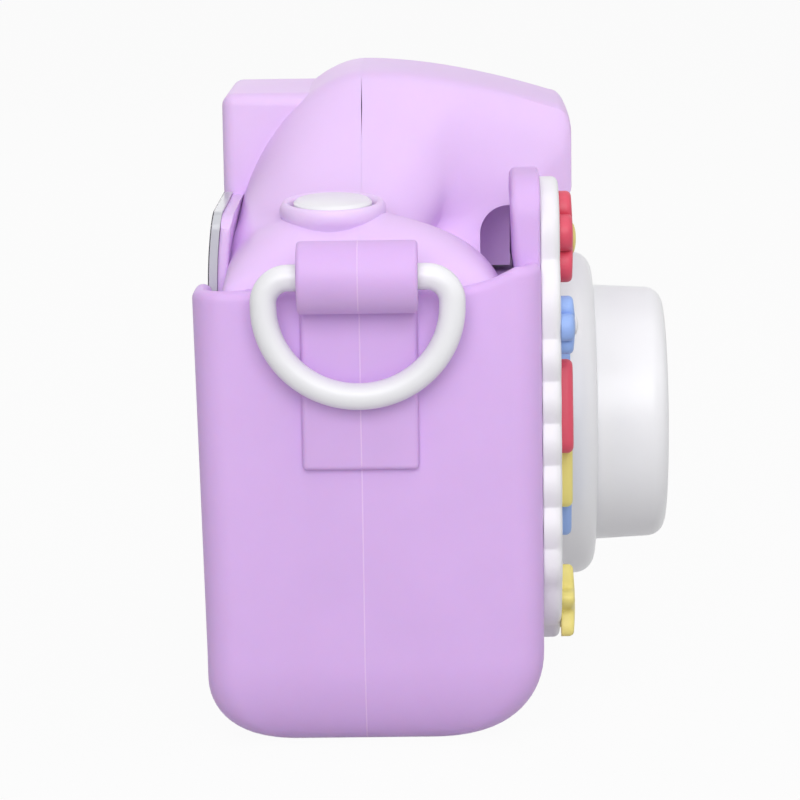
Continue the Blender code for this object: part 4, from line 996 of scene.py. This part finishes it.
def make_lens():
    place = (0, 0, LENS_Z)
    seat = BODY_FRONT + FIT
    neck = INNER_FRONT - LENS_NECK_LENGTH
    edge = LENS_BASE_EDGE
    outline = [(LENS_BORE_RADIUS, neck), (LENS_NECK_RADIUS, neck)]
    outline += [(LENS_NECK_RADIUS, seat), (LENS_BASE_RADIUS, seat)]
    outline += arc(LENS_BASE_RADIUS - edge, LENS_BASE_AHEAD - edge, edge, 0, 90, 10)
    base = turned("lens_base_skin", outline + [(LENS_BORE_RADIUS, LENS_BASE_AHEAD)], place)
    show(base, WHITE, "white_plastic", "lens_base")

    foot = LENS_BASE_AHEAD + BARREL_GAP
    floor = foot + BARREL_FLOOR
    edge = BARREL_EDGE
    outline = [(MODULE_RADIUS + FIT, foot), (BARREL_RADIUS, foot)]
    outline += arc(BARREL_FRONT_RADIUS - edge, BARREL_AHEAD - edge, edge, 0, 90, 10)
    outline.append((BARREL_BORE_RADIUS + MOUTH_EDGE, BARREL_AHEAD))
    outline.append((BARREL_BORE_RADIUS, BARREL_AHEAD - MOUTH_EDGE))
    outline += [(BARREL_BORE_RADIUS, floor), (MODULE_RADIUS + FIT, floor)]
    show(turned("lens_barrel_skin", outline, place), WHITE, "white_plastic", "lens_barrel")

    cone = floor + FIT
    bore_radius = GLASS_RADIUS + FIT
    outer = BARREL_BORE_RADIUS - FIT
    mouth = BARREL_AHEAD - CONE_SHY
    outline = [(bore_radius, cone), (outer, cone), (outer, mouth), (outer - CONE_LIP, mouth)]
    for i in range(CONE_STEPS):
        radius = outer - CONE_LIP - (outer - CONE_LIP - bore_radius) * i / CONE_STEPS
        height = mouth - (mouth - cone - CONE_FOOT) * i / CONE_STEPS
        outline += [(radius, height), (radius - CONE_STEP, height - CONE_STEP_DROP)]
    outline.append((bore_radius, cone + CONE_FOOT))
    show(turned("lens_cone_skin", outline, place, angle=STEPPED_CREASE), BLACK, "black_plastic", "lens_cone")

    outline = [(0, cone), (GLASS_RADIUS, cone)]
    outline += oval(0, cone + GLASS_EDGE, GLASS_RADIUS, GLASS_TOP - GLASS_EDGE, 0, 90, GLASS_STEPS)[:-1]
    outline.append((0, cone + GLASS_TOP))
    show(turned("lens_glass_skin", outline, place), GLASS, "clear_glass", "lens_glass")


def make_panel():
    """The pale panel, open over the screen, with a smoky film over all of it."""
    wide = BLOCK_HALF_WIDTH + FIT
    face = PANEL_FACE + FILM_THICK
    sheets = (("rear_panel_skin", face, PANEL_INNER, PANEL, ["rear_panel"]),
              ("rear_panel_film", PANEL_FACE, face - FILM_SUNK, FILM, []))
    for name, outer, inner, material, nodes in sheets:
        sheet = back_plate(name, outer, inner, PANEL_TOP_Z)
        notch = box("notch", (-wide, REAR - CUT, BLOCK_BOTTOM_Z - FIT),
                    (wide, BODY_REAR + CUT, PANEL_TOP_Z + CUT))
        combine(sheet, "DIFFERENCE", notch, *key_holes(REAR - CUT, BODY_REAR))
        if material is PANEL:
            window = screen_box("window", VIEW_HALF_WIDTH, VIEW_HALF_HEIGHT, REAR - CUT, BODY_REAR + CUT)
            combine(sheet, "DIFFERENCE", window)
        show(sheet, material, "smoke_panel", *nodes)


def make_keys():
    flange_radius = KEY_RADIUS + KEY_FLANGE
    for name, z in KEY_HEIGHTS.items():
        flange = -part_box(name)[0].y / MM
        reach = flange - REAR + KEY_PROUD
        grip = flange - INNER_REAR - FIT
        outline = [(0, 0), (flange_radius, 0), (flange_radius, grip), (KEY_RADIUS, grip)]
        outline += arc(KEY_RADIUS - KEY_EDGE, reach - KEY_EDGE, KEY_EDGE, 0, 90, 6)
        outline += [(KEY_RADIUS * KEY_DISH_SHARE, reach - KEY_DISH_EDGE), (0, reach - KEY_DISH)]
        key = turned(f"{name}_cap", outline, (KEY_X, flange, z), (0, 1, 0), KEY_STEPS)
        show(key, WHITE, "white_plastic", name, body=f"{name}_body")


def make_shutter():
    inner = SHUTTER_RADIUS + RUN
    outline = [(inner, -COLLAR_DEPTH), (COLLAR_RADIUS - COLLAR_DRAFT, -COLLAR_DEPTH)]
    outline += oval(COLLAR_RADIUS - COLLAR_LIP, -COLLAR_ROUND, COLLAR_LIP, COLLAR_ROUND, LIP_START, LIP_END,
                    LIP_STEPS)
    outline.append((inner, -COLLAR_INSIDE))
    collar = turned("shutter_collar_skin", outline, shutter_place(0), SHUTTER_AXIS, SHUTTER_STEPS)
    # The collar wears the lighter lilac, a painted highlight
    show(collar, LIT_COLLAR_PLASTIC, "lilac_plastic", "shutter_collar")

    foot = -SEAT_DEPTH - FIT - FLANGE_THICK
    flange = inner + SHUTTER_FLANGE
    low, top = SHUTTER_CROWN
    step = foot + FLANGE_THICK
    outline = [(0, foot), (flange, foot), (flange, step), (SHUTTER_RADIUS, step)]
    outline.append((SHUTTER_RADIUS, -SHUTTER_EDGE))
    for i in range(1, CROWN_STEPS):
        swell = sin(pi / 2 * i / CROWN_STEPS) ** CROWN_POWER
        outline.append((SHUTTER_RADIUS * (1 - i / CROWN_STEPS), low + (top - low) * swell))
    outline.append((0, top))
    button = turned("shutter_cap", outline, shutter_place(0), SHUTTER_AXIS, SHUTTER_STEPS)
    show(button, WHITE, "white_plastic", "shutter_button", body="shutter_button_body")


def make_flash():
    """Flash window with the rings of a flat lens pressed into its face."""
    rear = -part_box("flash_window")[1].y / MM
    face = HUMP_FRONT - FLASH_SUNK
    outline = [(0, rear), (FLASH_RADIUS, rear), (FLASH_RADIUS, face - FLASH_EDGE)]
    for i in range(FLASH_RINGS):
        radius = FLASH_RADIUS - FLASH_RIM - (FLASH_RADIUS - FLASH_HUB) * i / FLASH_RINGS
        outline += [(radius, face), (radius - FLASH_STEP, face - FLASH_GROOVE)]
    outline.append((0, face - FLASH_SUNK))
    show(turned("flash_lens_skin", outline, (0, 0, FLASH_Z), steps=64), FLASH, "clear_glass", "flash_window")


# Front relief, with each crown ring's share of its motif's width and its rise over the edge

MOTIF_STEPS = 120
MOTIF_TURNS = [2 * pi * i / MOTIF_STEPS for i in range(MOTIF_STEPS)]
MOTIF_CROWN = ((0.62, 0.12), (0.3, 0.2))


def scalloped(corners, rise, count=12):
    """A closed outline that bulges out between its corners."""
    points = []
    for i, (x, z) in enumerate(corners):
        next_x, next_z = corners[(i + 1) % len(corners)]
        for step in range(count):
            t = step / count
            swell = sin(pi * t) * rise
            across = x + (next_x - x) * t + (next_z - z) * swell
            up = z + (next_z - z) * t - (next_x - x) * swell
            points.append((across, up))
    return points


def flower(radius, petals):
    """(angle, reach) round a flower of round petals."""
    swells = [abs(cos(petals * a / 2)) ** PETAL_POWER for a in MOTIF_TURNS]
    return [(a, radius * (PETAL_ROOT + (1 - PETAL_ROOT) * s)) for a, s in zip(MOTIF_TURNS, swells)]


def star(radius, points):
    """(angle, reach) round a star with soft points."""
    swells = [((1 + cos(points * a)) / 2) ** STAR_POWER for a in MOTIF_TURNS]
    return [(a, radius * (STAR_ROOT + (1 - STAR_ROOT) * s)) for a, s in zip(MOTIF_TURNS, swells)]


def puffed(name, x, z, rim, height):
    """A raised motif on the cloud's face, round at its edge and crowned."""
    edge = MOTIF_EDGE
    levels = [(0.0, 0.0)] + [(edge - u, v) for u, v in arc(0, height - edge, edge, 0, 80, 4)]
    rings = []
    for draw, up in levels:
        rings.append([(x + (r - draw) * sin(a), CLOUD_FACE + up, z + (r - draw) * cos(a))
                      for a, r in rim])
    for share, up in MOTIF_CROWN:
        crown = CLOUD_FACE + height + up
        rings.append([(x + (r - edge) * share * sin(a), crown, z + (r - edge) * share * cos(a))
                      for a, r in rim])
    return loft(name, rings, MOTIF_CREASE)


def band(row, start, end):
    """Outline of a bent band with round ends, in one of the rows round the lens."""
    half = BAND_WIDTH / 2
    inner = BAND_INNER + (BAND_WIDTH + BAND_GAP) * row
    middle = inner + half
    outer = middle + half

    def tip(angle, turn):
        across = middle * cos(radians(angle))
        up = LENS_Z + middle * sin(radians(angle))
        return arc(across, up, half, angle + turn, angle + turn + 180, 8)[1:-1]

    outline = arc(0, LENS_Z, outer, start, end, 24) + tip(end, 0)
    return outline + arc(0, LENS_Z, inner, end, start, 24) + tip(start, 180)


def behind(ahead):
    """Everything behind a plane, to cut a relief's back flat."""
    reach = RELIEF_EDGE + CUT
    return box("behind", (-reach, ahead - 2 * CUT, -CUT), (reach, ahead, HUMP_TOP_Z))


def make_cloud():
    # Corners of the outline's left half, from the bottom up
    side = [(8.0, RELIEF_BOTTOM_Z), (20.0, RELIEF_BOTTOM_Z + 0.4), (32.0, RELIEF_BOTTOM_Z + 2.5),
            (RELIEF_EDGE - 1.6, RELIEF_BOTTOM_Z + 9.5)]
    side += [(RELIEF_EDGE, RELIEF_BOTTOM_Z + 15.0 + 5.5 * i) for i in range(6)]
    side += [(EAR_X + EAR_HALF_WIDTH - 1.2, RIM_Z + 2.8), (EAR_X + EAR_CORNER - 0.5, RELIEF_TOP_Z - 2.0),
             (EAR_X - EAR_CORNER, RELIEF_TOP_Z - 2.0), (EAR_X - EAR_HALF_WIDTH + 1.0, RIM_Z + 1.8),
             (11.0, RIM_Z + 0.4)]
    outline = scalloped(side + [(-x, z) for x, z in side[::-1]], SCALLOP_RISE)
    ring = arc(0, LENS_Z, LENS_BASE_RADIUS + FIT, 0, 360, 96)[:-1]
    deep = CLOUD_FACE - FRONT + RELIEF_SUNK
    place = (0, CLOUD_FACE - deep / 2, 0)
    cloud = plate("relief_cloud_skin", outline, deep, place, "ahead", RELIEF_ROUND, (ring,))
    combine(cloud, "DIFFERENCE", behind(FRONT + RELIEF_GAP))
    show(cloud, RELIEF_WHITE, "white_relief", "relief_cloud")


def make_motifs():
    """Bands, flowers, stars and the hearts of the flowers."""
    bands = [("red_band", band(2, 4, 19), RELIEF_RED, "red_relief"),
             ("yellow_band", band(1, -10, 12), RELIEF_YELLOW, "yellow_relief"),
             ("blue_band", band(0, -22, 25), RELIEF_BLUE, "blue_relief")]
    motifs = [("flower", FLOWER_PLACE, flower(FLOWER_RADIUS, 5), RELIEF_RED, "red_relief"),
              ("star", STAR_PLACE, star(STAR_RADIUS, 5), RELIEF_YELLOW, "yellow_relief"),
              ("blossom", BLOSSOM_PLACE, flower(BLOSSOM_RADIUS, 4), RELIEF_BLUE, "blue_relief")]
    hearts = [("flower", FLOWER_PLACE, FLOWER_HEART, RELIEF_YELLOW, "yellow_relief"),
              ("blossom", BLOSSOM_PLACE, BLOSSOM_HEART, RELIEF_WHITE, "white_relief")]
    for side, hand in SIDES[::-1]:
        for name, outline, material, slot in bands:
            points = [(side * x, z) for x, z in outline[::side]]
            deep = MOTIF_HIGH + RELIEF_SUNK
            place = (0, CLOUD_FACE + MOTIF_HIGH / 2 - RELIEF_SUNK / 2, 0)
            piece = plate(f"{name}_{hand}_skin", points, deep, place, "ahead", BAND_ROUND)
            combine(piece, "DIFFERENCE", behind(CLOUD_FACE + BAND_LIFT))
            show(piece, material, slot, f"{name}_{hand}")
        for name, (x, z), rim, material, slot in motifs:
            piece = puffed(f"{name}_{hand}_skin", side * x, z, rim, MOTIF_HIGH)
            show(piece, material, slot, f"{name}_{hand}")
        for name, (x, z), radius, material, slot in hearts:
            outline = [(0, 0)] + oval(0, 0, radius, HEART_HIGH, 0, 90, 8)[:-1]
            place = (side * x, CLOUD_FACE + MOTIF_HIGH + HEART_LIFT, z)
            heart = turned(f"{name}_{hand}_heart", outline + [(0, HEART_HIGH)], place, steps=36)
            show(heart, material, slot)


# CAD nodes that stay as they are

KEPT = {
    "rear_eye_ring": BLACK, "rear_eye_glass": GLASS, "rear_eye_module": BLACK, "flash_lamp": FOIL,
    "lens_module": BLACK, "sensor_board": BOARD, "screen_module": SCREEN, "main_board": BOARD,
    "battery": FOIL, "speaker": BLACK, "usb_socket": STEEL, "card_socket": STEEL,
    "shutter_board": BOARD, "shutter_switch": BLACK,
}


def dress_kept_nodes():
    for name, node in NODES.items():
        material = KEPT.get(name)
        if name.endswith("_key_switch"):
            material = BLACK
        if name.startswith("shell_screw"):
            material = STEEL
        if material:
            node.data.materials.clear()
            node.data.materials.append(material)


# Studio, in metres and watts

FLOOR_SIZE = 6.0
FLOOR_GREY = 0.55
FLOOR_GLOW = 0.95
WORLD_LIGHT = 0.25
WORLD_SEEN = 1.0


def seen_share(tree):
    """1 for the rays that show the backdrop itself, and 0 for those that only light the object."""
    rays = tree.nodes.new("ShaderNodeLightPath")
    share = rays.outputs["Is Camera Ray"]
    for kind in ("Is Glossy Ray", "Is Transmission Ray"):
        either = tree.nodes.new("ShaderNodeMath")
        either.operation = "MAXIMUM"
        tree.links.new(share, either.inputs[0])
        tree.links.new(rays.outputs[kind], either.inputs[1])
        share = either.outputs[0]
    return share


def make_floor():
    bm = bmesh.new()
    bmesh.ops.create_grid(bm, x_segments=1, y_segments=1, size=FLOOR_SIZE)
    floor = mesh_from(bm, "floor")
    made = bpy.data.materials.new("studio_floor")
    made.use_nodes = True
    tree = made.node_tree
    link = tree.links.new
    shader = set_sockets(tree.nodes["Principled BSDF"], Base_Color=(FLOOR_GREY, FLOOR_GREY, FLOOR_GREY, 1.0),
                         Roughness=0.9, Specular_IOR_Level=0.1)
    glow = node_of(tree, "ShaderNodeEmission", Strength=1.0)
    share = tree.nodes.new("ShaderNodeMath")
    share.operation = "MULTIPLY"
    share.inputs[1].default_value = FLOOR_GLOW
    mix = tree.nodes.new("ShaderNodeMixShader")
    link(seen_share(tree), share.inputs[0])
    link(share.outputs[0], mix.inputs["Fac"])
    link(shader.outputs[0], mix.inputs[1])
    link(glow.outputs[0], mix.inputs[2])
    link(mix.outputs[0], tree.nodes["Material Output"].inputs["Surface"])
    floor.data.materials.append(made)


def make_world():
    world = bpy.data.worlds.new("studio")
    bpy.context.scene.world = world
    world.use_nodes = True
    tree = world.node_tree
    back = set_sockets(tree.nodes["Background"], Color=(1.0, 1.0, 1.0, 1.0))
    level = node_of(tree, "ShaderNodeMapRange", To_Min=WORLD_LIGHT, To_Max=WORLD_SEEN)
    tree.links.new(seen_share(tree), level.inputs["Value"])
    tree.links.new(level.outputs["Result"], back.inputs["Strength"])


def lamp(name, place, target, size, power):
    light = bpy.data.lights.new(name, "AREA")
    light.shape = "RECTANGLE"
    light.size, light.size_y = size
    light.energy = power
    obj = linked(name, light)
    obj.location = place
    obj.rotation_euler = (Vector(target) - Vector(place)).to_track_quat("-Z", "Y").to_euler()


def make_lights():
    lamp("overhead", (-0.20, -0.05, 0.75), (0, 0, 0.04), (0.8, 0.8), 2.0)
    lamp("key_side", (-0.80, 0.00, 0.45), (0, 0, 0.05), (0.7, 0.5), 4.6)
    lamp("far_side", (0.65, 0.30, 0.45), (0, 0, 0.04), (0.7, 0.6), 0.7)
    lamp("front", (-0.10, -0.75, 0.35), (0, 0, 0.04), (0.7, 0.5), 0.9)


def make_camera():
    flat = cos(CAMERA_PITCH)
    forward = Vector((flat * cos(CAMERA_YAW), flat * sin(CAMERA_YAW), -sin(CAMERA_PITCH)))
    level = forward.cross(Vector((0, 0, 1))).normalized()
    upright = level.cross(forward)
    right = level * cos(CAMERA_ROLL) + upright * sin(CAMERA_ROLL)
    up = upright * cos(CAMERA_ROLL) - level * sin(CAMERA_ROLL)
    data = bpy.data.cameras.new("camera")
    data.sensor_width = CAMERA_SENSOR
    data.lens = CAMERA_LENS
    data.clip_start = 0.01
    data.clip_end = 20.0
    camera = linked("camera", data)
    place = at(*CAMERA_TARGET) - forward * (CAMERA_DISTANCE * MM)
    camera.matrix_world = Matrix.Translation(place) @ Matrix((right, up, -forward)).transposed().to_4x4()
    bpy.context.scene.camera = camera


make_front_shell()
make_rear_shell()
make_sleeve()
make_mould_lines()
make_rings()
make_lens()
make_panel()
make_keys()
make_shutter()
make_flash()
make_cloud()
make_motifs()
dress_kept_nodes()
make_floor()
make_world()
make_lights()
make_camera()
bpy.context.scene.view_settings.view_transform = "Standard"
